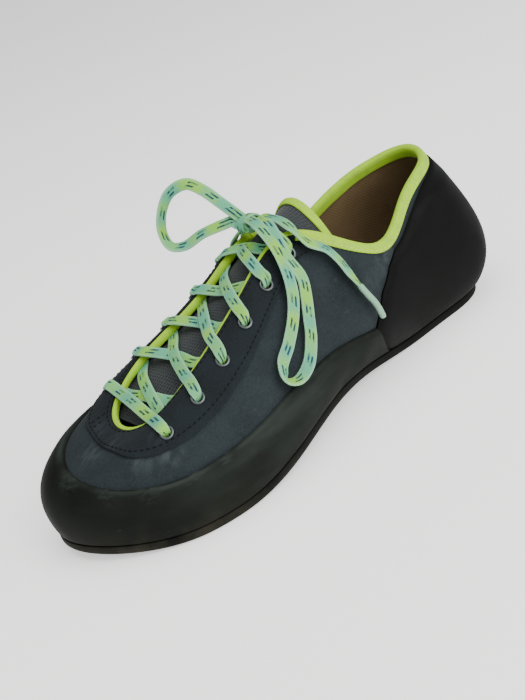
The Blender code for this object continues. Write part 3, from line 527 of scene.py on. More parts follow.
def section(corners, radius, step):
    """Closed outline with rounded corners, its long sides divided; sizes as in the table of its corners."""
    corners = np.array(corners, float)
    outline = []
    for before, here, after in zip(np.roll(corners, 1, 0), corners, np.roll(corners, -1, 0)):
        back, ahead = before - here, after - here
        cut = min(radius, np.linalg.norm(back) / 2.1, np.linalg.norm(ahead) / 2.1)
        first, last = here + unit(back) * cut, here + unit(ahead) * cut
        outline += [(1 - t) ** 2 * first + 2 * t * (1 - t) * here + t * t * last for t in (0, 0.35, 0.65, 1)]
    divided = []
    for here, after in zip(outline, outline[1:] + outline[:1]):
        parts = math.ceil(np.linalg.norm(after - here) / step)
        divided += [here + (after - here) * k / parts for k in range(parts)]
    return np.array(divided)


def frame_shift():
    """Move from the last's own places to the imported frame, from the sole's box there."""
    low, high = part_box("outsole")
    ring = feather(np.linspace(0, ROWS, 1001), SOLE_STEP)
    middle = (ring.min(0) + ring.max(0)) / 2
    return np.array([(low.x + high.x) / 2 - middle[0], (low.y + high.y) / 2 - middle[1], 0.0])


SHIFT = frame_shift()


def linear(code):
    """sRGB hex colour as linear RGBA."""
    channels = [int(code[i:i + 2], 16) / 255 for i in (0, 2, 4)]
    return tuple(c / 12.92 if c <= 0.04045 else ((c + 0.055) / 1.055) ** 2.4 for c in channels) + (1.0,)


def per(millimetres):
    """Texture scale that gives a pattern this size."""
    return 1 / (millimetres * MM)


def add(tree, kind, inputs=(), output=0, **settings):
    """One output of a new node, with its settings, its input values and its links from other nodes."""
    made = tree.nodes.new("ShaderNode" + kind)
    for name, value in settings.items():
        setattr(made, name, value)
    for socket, value in dict(inputs).items():
        if isinstance(value, bpy.types.NodeSocket):
            tree.links.new(value, made.inputs[socket])
        else:
            made.inputs[socket].default_value = value
    return made.outputs[output]


def new_material(name, **constants):
    """Material, its nodes, place on the shoe and UV; the constants are set on the shader's own sockets."""
    made = bpy.data.materials.new(name)
    made.use_nodes = True
    tree = made.node_tree
    for socket, value in constants.items():
        tree.nodes["Principled BSDF"].inputs[socket.replace("_", " ")].default_value = value
    coordinates = add(tree, "TexCoord").node.outputs
    return made, tree, coordinates["Object"], coordinates["UV"]


def wired(made, **outputs):
    """Material with the outputs of its nodes linked to the shader's sockets."""
    tree = made.node_tree
    for socket, output in outputs.items():
        tree.links.new(output, tree.nodes["Principled BSDF"].inputs[socket.replace("_", " ")])
    return made


def rubbed(tree, place, worn, marks, span, rubs):
    """Wear with rubs added to it: strong marks in a soft round patch about each rubbed place on the shoe."""
    for rib, share, size, strength in rubs:
        centre = tuple(skin(rib, share) + SHIFT)
        away = add(tree, "VectorMath", {0: place, 1: centre}, "Value", operation="DISTANCE")
        patch = add(tree, "MapRange", {0: away, 1: size * MM, 2: 0.2 * size * MM})
        strong = add(tree, "MapRange", {0: marks, 1: span[0], 2: span[1], 4: strength})
        local = add(tree, "Math", {0: patch, 1: strong}, operation="MULTIPLY")
        worn = add(tree, "Math", {0: worn, 1: local}, operation="MAXIMUM")
    return worn


def napped_microfibre(name, dark, light, scuff, nap, rubs):
    """Brushed microfibre cloth: dull and mottled, with a faint bloom at glancing angles and pale rubs."""
    made, tree, place, _ = new_material(name, Sheen_Weight=0.04, Sheen_Roughness=0.5, Specular_IOR_Level=0.12)
    mottle = add(tree, "TexNoise", {"Vector": place, "Scale": per(14), "Detail": 5.0, "Roughness": 0.6})
    grain = add(tree, "TexNoise", {"Vector": place, "Scale": per(nap), "Detail": 2.0})
    both = add(tree, "Mix", {0: 0.45, 2: mottle, 3: grain})
    spread = add(tree, "MapRange", {0: both, 1: 0.34, 2: 0.66})
    cloth = add(tree, "Mix", {0: spread, 6: linear(dark), 7: linear(light)}, 2, data_type="RGBA")
    # Rubs: streaks of raised nap, faint all over and strong where the shoe is handled
    stretch = add(tree, "Mapping", {"Vector": place, "Scale": (0.5, 1.0, 0.25), "Rotation": (0.4, 0.2, 0)})
    streaks = add(tree, "TexNoise", {"Vector": stretch, "Scale": per(2.5), "Detail": 5.0})
    faint = add(tree, "MapRange", {0: streaks, 1: 0.66, 2: 0.8, 4: 0.3})
    worn = rubbed(tree, place, faint, streaks, (0.4, 0.62), rubs)
    colour = add(tree, "Mix", {0: worn, 6: cloth, 7: linear(scuff)}, 2, data_type="RGBA")
    rough = add(tree, "MapRange", {0: mottle, 3: 0.82, 4: 0.98})
    bump = add(tree, "Bump", {"Height": grain, "Strength": 0.3, "Distance": 0.22 * MM})
    return wired(made, Base_Color=colour, Roughness=rough, Normal=bump)


def rolled_rubber(name, dark, light, pale, patches, lip, toe_dust, rubs=()):
    """Rolled shoe rubber: satin black with a grey bloom, a worn pale lip, hairline scratches and toe dust."""
    made, tree, place, run = new_material(name, IOR=1.52, Specular_IOR_Level=0.05)
    ahead, _, height = add(tree, "SeparateXYZ", {0: place}).node.outputs
    along, up, _ = add(tree, "SeparateXYZ", {0: run}).node.outputs
    bloom = add(tree, "TexNoise", {"Vector": place, "Scale": per(22), "Detail": 6.0, "Roughness": 0.62})
    spread = add(tree, "MapRange", {0: bloom, 1: 0.36, 2: 0.68})
    rubber = add(tree, "Mix", {0: spread, 6: linear(dark), 7: linear(light)}, 2, data_type="RGBA")
    # Soft grey smears along the piece, more of them high on it and in the shoe's middle; their thinning out
    # towards the toe is painted shade, as the toe's front is turned from the light
    smear = add(tree, "Mapping", {"Vector": place, "Scale": (0.3, 0.5, 1.0)})
    blots = add(tree, "TexNoise", {"Vector": smear, "Scale": per(8), "Detail": 3.0, "Roughness": 0.5})
    smears_and_toe_shade = add(tree, "MapRange", {0: blots, 1: 0.35, 2: 0.8, 3: 0.2 * patches, 4: patches})
    high = {0: up, 1: 0.15, 2: 0.85, 3: 0.25}
    # Painted shade: the pale smears thin out towards the toe, so its front stays darker as if turned from the
    # light
    toe_shade = {0: ahead, 1: 50 * MM, 2: 120 * MM, 3: 1.0, 4: 0.15}
    past_heel = {0: ahead, 1: -40 * MM, 2: 30 * MM, 3: 0.35}
    for part in (high, toe_shade, past_heel):
        smears_and_toe_shade = add(tree, "Math", {0: smears_and_toe_shade, 1: add(tree, "MapRange", part)}, operation="MULTIPLY")
    # Hairline scratches, drawn 0.6 mm wide so that they show
    stretch = add(tree, "Mapping", {"Vector": place, "Scale": (0.12, 0.5, 1.0), "Rotation": (0, 0.25, 0.5)})
    hairs = add(tree, "TexNoise", {"Vector": stretch, "Scale": per(1.2), "Detail": 2.0})
    scratches = add(tree, "MapRange", {0: hairs, 1: 0.68, 2: 0.78, 4: 0.4 * patches})
    # Worn lip along the upper edge and at the ends, rubbed through in places
    edge = add(tree, "MapRange", {0: up, 1: 0.86, 2: 0.93})
    under = add(tree, "MapRange", {0: up, 1: 0.985, 2: 0.965})
    band = add(tree, "Math", {0: edge, 1: under}, operation="MULTIPLY")
    middle = add(tree, "Math", {0: along, 1: 0.5}, operation="SUBTRACT")
    aside = add(tree, "Math", {0: middle}, operation="ABSOLUTE")
    ends = add(tree, "MapRange", {0: aside, 1: 0.488, 2: 0.496, 4: 0.4})
    border = add(tree, "Math", {0: band, 1: ends}, operation="MAXIMUM")
    through = add(tree, "MapRange", {0: blots, 1: 0.38, 2: 0.62, 3: 0.15 * lip, 4: lip})
    worn = add(tree, "Math", {0: border, 1: through}, operation="MULTIPLY")
    for marks in (scratches, smears_and_toe_shade):
        worn = add(tree, "Math", {0: worn, 1: marks}, operation="MAXIMUM")
    wear = rubbed(tree, place, worn, hairs, (0.35, 0.7), rubs)
    scuffed = add(tree, "Mix", {0: wear, 6: rubber, 7: linear(pale)}, 2, data_type="RGBA")
    # Brown dust low at the toe
    toe = add(tree, "MapRange", {0: ahead, 1: 20 * MM, 2: 110 * MM, 4: toe_dust})
    low = add(tree, "MapRange", {0: height, 1: 18 * MM, 2: 4 * MM})
    dusty = add(tree, "Math", {0: toe, 1: low}, operation="MULTIPLY")
    dust = add(tree, "Math", {0: dusty, 1: spread}, operation="MULTIPLY")
    colour = add(tree, "Mix", {0: dust, 6: scuffed, 7: linear("38362c")}, 2, data_type="RGBA")
    rough = add(tree, "MapRange", {0: bloom, 1: 0.3, 2: 0.7, 3: 0.52, 4: 0.78})
    peel = add(tree, "TexNoise", {"Vector": place, "Scale": per(1.6), "Detail": 3.0})
    bump = add(tree, "Bump", {"Height": peel, "Strength": 0.2, "Distance": 0.15 * MM})
    return wired(made, Base_Color=colour, Roughness=rough, Normal=bump)


def woven_tape():
    """Lime grosgrain tape: nearly flat, with fine ribs across it and a little grime."""
    made, tree, place, run = new_material(
        "lime_grosgrain", Roughness=0.85, Sheen_Weight=0.05, Sheen_Roughness=0.4, Specular_IOR_Level=0.15,
    )
    # Real ribs are about 0.5 mm apart; they are drawn 1.0 mm apart so that they show
    wave = {"Vector": run, "Scale": per(1.0) * WAVE_SCALE, "Distortion": 0.6, "Detail": 1.0}
    ribs = add(tree, "TexWave", wave, "Fac", bands_direction="X")
    lit = add(tree, "Mix", {0: ribs, 6: linear("93bf22"), 7: linear("a3cd30")}, 2, data_type="RGBA")
    grime = add(tree, "TexNoise", {"Vector": place, "Scale": per(5), "Detail": 5.0})
    dull = add(tree, "MapRange", {0: grime, 1: 0.48, 2: 0.76, 4: 0.6})
    colour = add(tree, "Mix", {0: dull, 6: lit, 7: linear("86a53c")}, 2, data_type="RGBA")
    bump = add(tree, "Bump", {"Height": ribs, "Strength": 0.3, "Distance": 0.1 * MM})
    return wired(made, Base_Color=colour, Normal=bump)


def spacer_mesh():
    """Padded tongue cloth: a dark knit with small round holes."""
    made, tree, _, run = new_material(
        "tongue_spacer_mesh", Roughness=0.9, Sheen_Weight=0.15, Specular_IOR_Level=0.3,
    )
    cells = add(tree, "TexVoronoi", {"Vector": run, "Scale": per(1.5), "Randomness": 0.15}, "Distance")
    holes = add(tree, "MapRange", {0: cells, 1: 0.22, 2: 0.42})
    colour = add(tree, "Mix", {0: holes, 6: linear("121415"), 7: linear("2d3234")}, 2, data_type="RGBA")
    bump = add(tree, "Bump", {"Height": holes, "Strength": 0.6, "Distance": 0.3 * MM})
    return wired(made, Base_Color=colour, Normal=bump)


def lining_canvas(name, warp, weft):
    """Tan cotton lining: a plain weave, rubbed and a little stained."""
    made, tree, place, run = new_material(name, Roughness=0.92, Specular_IOR_Level=0.25)
    # Threads are about 0.5 mm apart; they are drawn 0.9 mm apart so that they show
    threads = add(tree, "TexChecker", {"Vector": run, "Scale": per(0.9)}, "Fac")
    stain = add(tree, "TexNoise", {"Vector": place, "Scale": per(18), "Detail": 5.0})
    both = add(tree, "Mix", {0: 0.65, 2: threads, 3: stain})
    colour = add(tree, "Mix", {0: both, 6: linear(warp), 7: linear(weft)}, 2, data_type="RGBA")
    bump = add(tree, "Bump", {"Height": threads, "Strength": 0.3, "Distance": 0.15 * MM})
    return wired(made, Base_Color=colour, Normal=bump)


def flecked_braid():
    """Flat polyester lace: mint and lime braid, a painted highlight along its edges, pairs of navy flecks and
    a chevron of plaits.
    """
    made, tree, _, run = new_material(
        "flecked_lace_braid", Roughness=0.8, Sheen_Weight=0.05, Sheen_Roughness=0.4, Specular_IOR_Level=0.2,
    )
    along, across, _ = add(tree, "SeparateXYZ", {0: run}).node.outputs
    slow = add(tree, "CombineXYZ", {"X": along})
    tint = add(tree, "TexNoise", {"Vector": slow, "Scale": per(15), "Detail": 1.0})
    limes = add(tree, "MapRange", {0: tint, 1: 0.42, 2: 0.60})
    body = add(tree, "Mix", {0: limes, 6: linear("5ca884"), 7: linear("86c14c")}, 2, data_type="RGBA")
    aside = add(tree, "Math", {0: across}, operation="ABSOLUTE")
    # Painted highlight: the edges of the lace are paler, as where its rounded sides catch the light
    edge_highlight = add(tree, "MapRange", {0: aside, 1: 1.7 * MM, 2: 2.5 * MM, 4: 0.6})
    highlighted_braid = add(tree, "Mix", {0: edge_highlight, 6: body, 7: linear("93c6a6")}, 2, data_type="RGBA")
    # Plaits: two slanting sets of threads, drawn 1.1 mm apart
    slant = add(tree, "Math", {0: along, 1: aside}, operation="ADD")
    wave = add(tree, "Math", {0: slant, 1: 2 * math.pi * per(1.1)}, operation="MULTIPLY")
    plait = add(tree, "Math", {0: wave}, operation="SINE")
    shade = add(tree, "MapRange", {0: plait, 1: -1.0, 2: 1.0, 3: 0.84, 4: 1.04})
    braid = add(tree, "Mix", {0: 1.0, 6: highlighted_braid, 7: shade}, 2, data_type="RGBA", blend_type="MULTIPLY")
    # Flecks: a pair of navy dashes beside each other, one a little ahead of the other
    beside = add(tree, "Math", {0: aside, 1: 0.8 * MM}, operation="SUBTRACT")
    from_track = add(tree, "Math", {0: beside}, operation="ABSOLUTE")
    track = add(tree, "MapRange", {0: from_track, 1: 0.50 * MM, 2: 0.34 * MM})
    ahead = add(tree, "Math", {0: across, 1: 0.9, 2: along}, operation="MULTIPLY_ADD")
    phase = add(tree, "Math", {0: ahead, 1: 10.8 * MM}, operation="MODULO")
    dash = add(tree, "Math", {0: phase, 1: 4.4 * MM}, operation="LESS_THAN")
    fleck = add(tree, "Math", {0: track, 1: dash}, operation="MULTIPLY")
    flicker = add(tree, "TexNoise", {"Vector": run, "Scale": per(2.2), "Detail": 1.0})
    clear = add(tree, "MapRange", {0: flicker, 1: 0.34, 2: 0.5, 3: 0.35, 4: 0.95})
    broken = add(tree, "Math", {0: fleck, 1: clear}, operation="MULTIPLY")
    colour = add(tree, "Mix", {0: broken, 6: braid, 7: linear("14304a")}, 2, data_type="RGBA")
    bump = add(tree, "Bump", {"Height": plait, "Strength": 0.4, "Distance": 0.12 * MM})
    return wired(made, Base_Color=colour, Normal=bump)


def plain_finish(name, code, roughness, haze=2, detail=2, **constants):
    """Small plain finish, such as thread or clear plastic, with a faint variation in gloss."""
    made, tree, place, _ = new_material(name, Base_Color=linear(code), **constants)
    cloud = add(tree, "TexNoise", {"Vector": place, "Scale": per(haze), "Detail": detail})
    rough = add(tree, "MapRange", {0: cloud, 3: roughness - 0.1, 4: roughness + 0.1})
    return wired(made, Roughness=rough)


def plated_steel():
    """Nickel-plated eyelet metal: bright, lightly scratched."""
    return plain_finish("nickel_plate", "62686a", 0.4, 1.2, 4, Metallic=1.0)


def new_mesh(name, bm):
    """Mesh made from a working one, which is let go."""
    mesh = bpy.data.meshes.new(name)
    bm.to_mesh(mesh)
    bm.free()
    return mesh


def new_object(name, data):
    """Object at the origin, linked to the scene."""
    made = bpy.data.objects.new(name, data)
    bpy.context.collection.objects.link(made)
    return made


def add_piece(name, bm, finish, stands_for=()):
    """Finished mesh as a piece of the shoe."""
    mesh = new_mesh(name, bm)
    mesh.shade_smooth()
    mesh.set_sharp_from_angle(angle=SMOOTH_BELOW)
    mesh.materials.append(finish)
    piece = new_object(name, mesh)
    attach(piece, "root")
    if stands_for:
        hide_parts(*stands_for)
    return piece


def swept_mesh(bm, points, ring=False, across=None, along=None):
    """Closed form through sections, points[station][corner]: a grid bent round them, with its ends filled.

    Its UV map is metres along and metres round, or the places along and across that are given.
    """
    points = np.asarray(points) + SHIFT
    if ring:
        points = np.concatenate([points, points[:1]])
    points = np.concatenate([points, points[:, :1]], 1)
    runs = distances(points).mean(1) if along is None else along
    rounds = distances(points.swapaxes(0, 1)).mean(1) if across is None else np.append(across, across[0])
    stations, corners = len(runs) - 1, len(rounds) - 1
    layer = bm.loops.layers.uv.verify()
    grid = bmesh.ops.create_grid(bm, x_segments=stations, y_segments=corners, size=0.5)["verts"]
    for vert in grid:
        i, j = round((vert.co.x + 0.5) * stations), round((vert.co.y + 0.5) * corners)
        vert.co = points[i, j]
        for loop in vert.link_loops:
            loop[layer].uv = (runs[i], rounds[j])
    bmesh.ops.remove_doubles(bm, verts=grid, dist=MERGE)
    rims = [edge for edge in bm.edges if edge.is_boundary]
    if rims:
        bmesh.ops.holes_fill(bm, edges=rims, sides=0)
    bmesh.ops.recalc_face_normals(bm, faces=bm.faces)


def sweep(name, points, finish, stands_for=(), ring=False, across=None, along=None):
    bm = bmesh.new()
    swept_mesh(bm, points, ring, across, along)
    return add_piece(name, bm, finish, stands_for)


def make_camera():
    data = bpy.data.cameras.new("camera")
    data.sensor_width = SENSOR
    data.lens = CAMERA_FOCAL * SENSOR / PHOTO_HEIGHT
    camera = new_object("camera", data)
    turn = Matrix.Rotation(CAMERA_AZIMUTH + math.pi / 2, 4, "Z")
    tip = Matrix.Rotation(math.pi / 2 - CAMERA_ELEVATION, 4, "X")
    roll = Matrix.Rotation(CAMERA_ROLL, 4, "Z")
    aim, back = (Matrix.Translation(step) for step in (CAMERA_AIM + SHIFT, (0, 0, CAMERA_DISTANCE)))
    camera.matrix_world = aim @ turn @ tip @ roll @ back
    bpy.context.scene.camera = camera


def tongue_row(station):
    """Outer rib, inner rib, crown and inner lift at a station, counted in rows of the tongue's table."""
    rows = np.array(list(TONGUE.values()))
    return [softened(station, range(len(rows)), column, TONGUE_SPREAD) for column in rows.T]


def tongue_span(station, across):
    """Point of the tongue's top between the throat's edges; across runs 0 to 1, outer to inner."""
    outer_rib, inner_rib, crown, lift = tongue_row(station)
    left = skin(outer_rib, 1.0, -TONGUE_DEPTH)
    right = skin(inner_rib, 1.0, -TONGUE_DEPTH) + np.asarray(lift)[..., None] * edge_up(inner_rib)
    middle = (left + right) / 2 + UP * (2 * np.asarray(crown))[..., None]
    a = np.asarray(across, float)[..., None]
    return (1 - a) ** 2 * left + 2 * a * (1 - a) * middle + a**2 * right


def eyelet_place(side, k):
    """Rib and share that an eyelet sits on, counted from the toe: an even pitch along the shoe."""
    below = EYELET_FROM_EDGE[side][k] * MM
    ribs = np.linspace(*EYELET_RIBS[side], MEASURE_STEPS + 1)
    along = surface(ribs, share_below_edge(ribs, below))[:, 0]
    rib = np.interp(EYELET_FIRST[side] - k * EYELET_PITCH[side], along, ribs)
    return rib, share_below_edge(rib, below)


def eyelet_spot(side, k):
    return surface(*eyelet_place(side, k))


def nearest_to_line(points, line):
    """Number of the point that lies nearest a straight lace, seen from above."""
    start, end = line
    reach, steps = end - start, points - start
    return abs(reach[0] * steps[:, 1] - reach[1] * steps[:, 0]).argmin()


def wall_rib(side, share, line):
    """Rib at which a straight lace passes a share of the way up the wall."""
    ribs = np.linspace(*EDGE_RIBS[side], EDGE_STEPS + 1)
    return ribs[nearest_to_line(surface(ribs, share), line)]


def over_edge(side, line, facing):
    """Key of a lace on top of the bound throat edge: its place, the way it faces and its width."""
    rib = wall_rib(side, 1.0, line)
    return skin(rib, 1.0, LACE_OVER_EDGE) + edge_up(rib) * LACE_LIFT, facing * normal(rib, 1.0), 1.0


def on_facing(side, k, line, out, facing):
    """Key of a lace on or under the eyestay, halfway from an eyelet to the throat's edge."""
    share = (eyelet_place(side, k)[1] + 1) / 2
    rib = wall_rib(side, share, line)
    return skin(rib, share, out), facing * normal(rib, share), 1.0


def on_tongue(across, line, lift, facing):
    """Key of a straight lace that lies over the tongue."""
    stations = np.linspace(0, TONGUE_TOP, MEASURE_STEPS + 1)
    station = stations[nearest_to_line(tongue_span(stations, across), line)]
    back = tongue_span(station + TONGUE_STEP, across) - tongue_span(station - TONGUE_STEP, across)
    inward = tongue_span(station, across + TONGUE_STEP) - tongue_span(station, across - TONGUE_STEP)
    way = unit(np.cross(back, inward))
    return tongue_span(station, across) + way * (lift + LACE_THICKNESS / 2), facing * way, 1.0


def through_eyelet(side, k, under, over, facing):
    """Keys of a lace up through an eyelet, coming from a place under the wall and going to one over it."""
    centre, way = eyelet_spot(side, k), normal(*eyelet_place(side, k))
    back, ahead = (unit(goal - centre - way * ((goal - centre) @ way)) for goal in (under, over))
    return [
        (centre - way * LACE_UNDER_WALL + back * LACE_TURN, facing * way, SQUEEZE_UNDER),
        (centre + way * LACE_IN_HOLE, facing * unit(back + ahead), EYELET_SQUEEZE),
        (centre + way * LACE_OVER_EYELET + ahead * LACE_TURN, -facing * way, SQUEEZE_OVER),
    ]


def half_lace(side):
    """Keys of one half of the lace, from its bar down through the first eyelet and up to the knot."""
    facing = -1.0
    other = OTHER_SIDE[side]
    keys = through_eyelet(side, 0, eyelet_spot(other, 1), eyelet_spot(other, 0), facing)[::-1]
    for k in range(EYELET_PAIRS - 1):
        line = eyelet_spot(side, k), eyelet_spot(other, k + 1)
        near, far = CROSSING_ACROSS[side]
        if k == 0:
            keys.append(on_facing(side, k, line, -LACE_UNDER_WALL, facing))
            keys.append(on_tongue(near, line, LACE_LIFT, facing))
        else:
            keys += [on_facing(side, k, line, LACE_ON_FACING, facing), over_edge(side, line, facing)]
        keys.append(on_tongue(0.5, line, LACE_LIFT + (LACE_OVER_LACE if side == "lateral" else 0), facing))
        keys.append(on_tongue(far, line, LACE_LIFT / 2, facing))
        keys.append(on_facing(other, k + 1, line, -LACE_UNDER_WALL, facing))
        goal = eyelet_spot(side, k + 2) if k + 2 < EYELET_PAIRS else knot_centre()
        keys += through_eyelet(other, k + 1, line[0], goal, facing)
        facing = -facing
        side, other = other, side
    line = eyelet_spot(side, EYELET_PAIRS - 1), knot_centre()
    return keys + [over_edge(side, line, facing), (knot_centre(), facing * UP, SQUEEZE_UNDER)]


def knot_centre():
    middle = (surface(KNOT_RIBS[0], 1.0) + surface(KNOT_RIBS[1], 1.0)) / 2
    return middle + KNOT_STEP


def lace_sections(keys, tip=0.0):
    """Path and flat sections of a lace through its keys, drawn in where its tip is pressed."""
    points, ways, widths = (np.array(values) for values in zip(*keys))
    path, count = smooth_path(points, LACE_STEP)
    own = np.arange(len(keys))
    faces = between(count, own, ways)
    widths = np.interp(count, own, widths)
    along = unit(np.gradient(path, axis=0))
    side = unit(np.cross(along, faces))
    face = np.cross(side, along)
    to_tip = np.arange(len(path))[::-1] * LACE_STEP - tip
    narrow = np.interp(to_tip, LACE_NARROWS, (LACE_IN_AGLET, 1.0)) if tip else 1.0
    angles = np.linspace(0, 2 * math.pi, LACE_CORNERS, endpoint=False)
    flat, thick = (
        np.sign(part) * abs(part) ** LACE_SQUARENESS * size / 2
        for part, size in ((np.cos(angles), LACE_WIDTH), (np.sin(angles), LACE_THICKNESS))
    )
    wide = ((widths * narrow)[:, None] * flat)[..., None] * side[:, None]
    deep = (thick / widths[:, None] ** 0.5)[..., None] * face[:, None]
    return path, path[:, None] + wide + deep, flat


def make_lacing(braid):
    """The lace as far as the knot: one run from knot to knot, with the bar in its middle."""
    line = eyelet_spot("lateral", 0), eyelet_spot("medial", 0)
    outer, inner = over_edge("lateral", line, 1.0), over_edge("medial", line, 1.0)
    way = unit(outer[1] + inner[1])
    arch = (outer[0] + inner[0]) / 2 + BAR_ARCH * way, way, 1.0
    bar = [
        on_facing("medial", 0, line, LACE_ON_FACING, 1.0), inner, arch, outer,
        on_facing("lateral", 0, line, LACE_ON_FACING, 1.0),
    ]
    keys = half_lace("medial")[::-1] + bar + half_lace("lateral")
    _, sections, flat = lace_sections(keys)
    crossings = [f"lace_cross_{k + 1}" for k in range(EYELET_PAIRS - 1)]
    sweep("lace_run", sections, braid, ["lace_bar", *crossings], across=flat)


def make_knot(braid):
    """Knot of the bow: turns of the lace round the strands that run through it."""
    centre = knot_centre()
    strands = []
    for along, up, drift, turn in KNOT_TURNS.values():
        angles = np.radians(np.linspace(*turn, KNOT_POINTS))
        ways = stack(np.cos(angles), 0.0, np.sin(angles))
        steps = stack(along * np.cos(angles), np.linspace(*drift, KNOT_POINTS), up * np.sin(angles))
        strands.append([(centre + step * MM, way, KNOT_SQUEEZE) for step, way in zip(steps, ways)])
    for facing, steps in KNOT_TAILS:
        ways = [facing, facing] + [UP] * (len(steps) - 2)
        strands.append([(centre + np.array(step) * MM, way, 1.0) for step, way in zip(steps, ways)])
    bm = bmesh.new()
    for keys in strands:
        _, sections, flat = lace_sections(keys)
        swept_mesh(bm, sections, across=flat)
    return add_piece("bow_knot", bm, braid, ["lace_knot"])


def bow_keys(name):
    """Keys of a loop or end: flat on the shoe, and turned on edge round the far end of a loop."""
    leaving, lying, returning = BOW[name]
    centre, facing = knot_centre(), BOW_FACING.get(name, UP)
    keys = [(centre + np.array(step) * MM, facing) for step in leaving]
    keys += [(skin(rib, share, lift * MM), normal(rib, share)) for rib, share, lift in lying]
    keys += [(centre + np.array(step) * MM, facing) for step in returning]
    if not returning:
        runs = unit(np.gradient([place for place, _ in keys], axis=0))
        turns = END_TURN.get(name, 0.0) * np.interp(range(len(keys)), (0, END_TURN_KEYS), (0, 1))
        return [
            (place, way * math.cos(turn) + np.cross(run, way) * math.sin(turn), 1.0)
            for (place, way), run, turn in zip(keys, runs, turns)
        ]
    middle = np.mean([place for place, _ in keys], axis=0)
    tilted = []
    for (place, way), turn in zip(keys, np.linspace(0, math.pi, len(keys))):
        tilt = LOOP_TILT * math.sin(turn) ** 3
        tilted.append((place, unit(way * math.cos(tilt) + unit(middle - place) * math.sin(tilt)), 1.0))
    return tilted


def make_aglet(name, path, plastic):
    """Pressed plastic tip round the end of a lace."""
    line = path[-round(AGLET_LENGTH / LACE_STEP):]
    along = unit(np.gradient(line, axis=0))
    side = unit(np.cross(along, UP))
    up = np.cross(side, along)
    to_end = np.minimum(np.arange(len(line)), np.arange(len(line))[::-1])
    radius = AGLET_RADIUS * np.interp(to_end, (0, 1), (AGLET_TAPER, 1.0))
    angles = np.linspace(0, 2 * math.pi, AGLET_CORNERS, endpoint=False)
    ring = np.cos(angles)[:, None] * side[:, None] + np.sin(angles)[:, None] * up[:, None]
    return sweep(name, line[:, None] + radius[:, None, None] * ring, plastic)


def make_bow(braid, plastic):
    """Loops and ends of the bow, each a free length of the lace from the knot."""
    for name, route in BOW.items():
        loop = bool(route[2])
        path, sections, flat = lace_sections(bow_keys(name), 0.0 if loop else AGLET_LENGTH)
        piece = sweep(name.replace("lace", "bow"), sections, braid, [name], across=flat)
        tips = [] if loop else [make_aglet(name.replace("lace_end", "aglet"), path, plastic)]


def make_slab(name, finish, node, inset, base, thickness, radius, worn=False):
    """Plate with the sole's outline: sections across it from heel to toe, with rounded edges."""
    across = np.linspace(0, 1, SLAB_COLUMNS)
    angles = np.linspace(0, math.pi / 2, SLAB_EDGE_CORNERS)
    bevel, blunt = SLAB_BEVEL * radius, SLAB_BLUNT * radius
    wall = [(radius * (1 - math.sin(a)), radius * (1 - math.cos(a))) for a in angles[1:]]
    wall += [(0.0, thickness - bevel), (blunt, thickness - blunt)]
    corners = [(c, radius, 0.0) for c in across] + [(1.0, *corner) for corner in wall]
    corners += [(c, bevel, thickness) for c in across[::-1]] + [(0.0, *corner) for corner in wall[::-1]]
    side, step, height = np.array(corners).T
    half = (1 - np.cos(np.linspace(0, math.pi, SOLE_STATIONS)))[:, None] * ROWS / 4
    out = SOLE_STEP - inset - step + 0 * half
    left, right = feather(half + 0 * side, out), feather(ROWS - half + 0 * side, out)
    points = left + (right - left) * side[:, None]
    points[..., 2] = sole_lift(points[..., 0], points[..., 1]) + base + height
    return sweep(name, points, finish, [node], across=1 - height / thickness if worn else None)


def make_upper(cloth, lining):
    """Outer cloth and lining, two walls on the last."""
    ribs = np.linspace(0, ROWS, UPPER_STATIONS, endpoint=False)[:, None]
    up = np.linspace(0, 1, UPPER_SHARES)
    shares = np.concatenate([up, up[::-1]])
    outside = np.repeat([0.0, -CLOTH_WALL], UPPER_SHARES)
    inside = np.repeat(LINING_FACES, UPPER_SHARES)
    return (
        sweep("upper_cloth", skin(ribs, shares, outside), cloth, ["upper"], ring=True),
        sweep("upper_lining", skin(ribs, shares, inside), lining, ring=True),
    )


def seam_ribs(shares):
    """Ribs from the heel to the seam between the rands, at shares up the rib."""
    return np.interp(shares, SEAM_SHARES, SEAM_RIBS)


def laid_outline(corners, fineness):
    """Section of a laid-on piece: shares of the way up it, and steps out from the last."""
    up, out = section(corners, *fineness).T
    return np.clip(up / max(corners)[0], 0, 1), out * MM


def lapped_piece(name, ribs, shares, up, out, finish, node):
    """Rubber or cloth laid on the upper, and set down on the sole where it reaches it."""
    points = skin(ribs, shares, out)
    points[..., 2] -= SEAT_ON_SOLE * (shares < FOOT_SHARE)
    return sweep(name, points, finish, [node], across=up, along=np.linspace(0, 1, len(points)))


def make_rand(rubber):
    up, out = laid_outline(RAND_OUTLINE, RAND_FINENESS)
    start = seam_ribs(up * column_at("rand_top", SEAM_RIBS[1])) + SEAM_GAP
    stop = ROWS - seam_ribs(up * column_at("rand_top", ROWS - SEAM_RIBS[1])) - SEAM_GAP
    ribs = start + (stop - start) * np.linspace(0, 1, RAND_STATIONS)[:, None]
    shares = up * column_at("rand_top", ribs)
    return lapped_piece("toe_rand", ribs, shares, up, out, rubber, "rand")


def make_heel_rand(rubber):
    up, out = laid_outline(HEEL_RAND_OUTLINE, HEEL_FINENESS)
    turn = np.linspace(-1, 1, HEEL_STATIONS)[:, None]
    ribs = turn * seam_ribs(up * HEEL_RAND_SHARES[-1])
    top_ribs = abs(turn) * seam_ribs(HEEL_RAND_SHARES[-1])
    top = softened(top_ribs, HEEL_RAND_RIBS, HEEL_RAND_SHARES, HEEL_RAND_SPREAD)
    skived = np.interp(1 - abs(turn), SKIVE_RUN, SKIVE)
    return lapped_piece("heel_cup", ribs, up * top, up, skived * out, rubber, "heel_rand")


def eyestay_shares(ribs, up):
    """Shares up the ribs of a place on the eyestay, from 0 at its outer edge to 1 beside the throat."""
    width = softened(ribs, list(EYESTAY_WIDTHS), list(EYESTAY_WIDTHS.values()), EYESTAY_SPREAD)
    low = share_below_edge(ribs, width * MM)
    high = share_below_edge(ribs, np.interp(abs(ribs - ROWS / 2), EYESTAY_EDGE_RIBS, EYESTAY_EDGE))
    return low + (high - low) * up


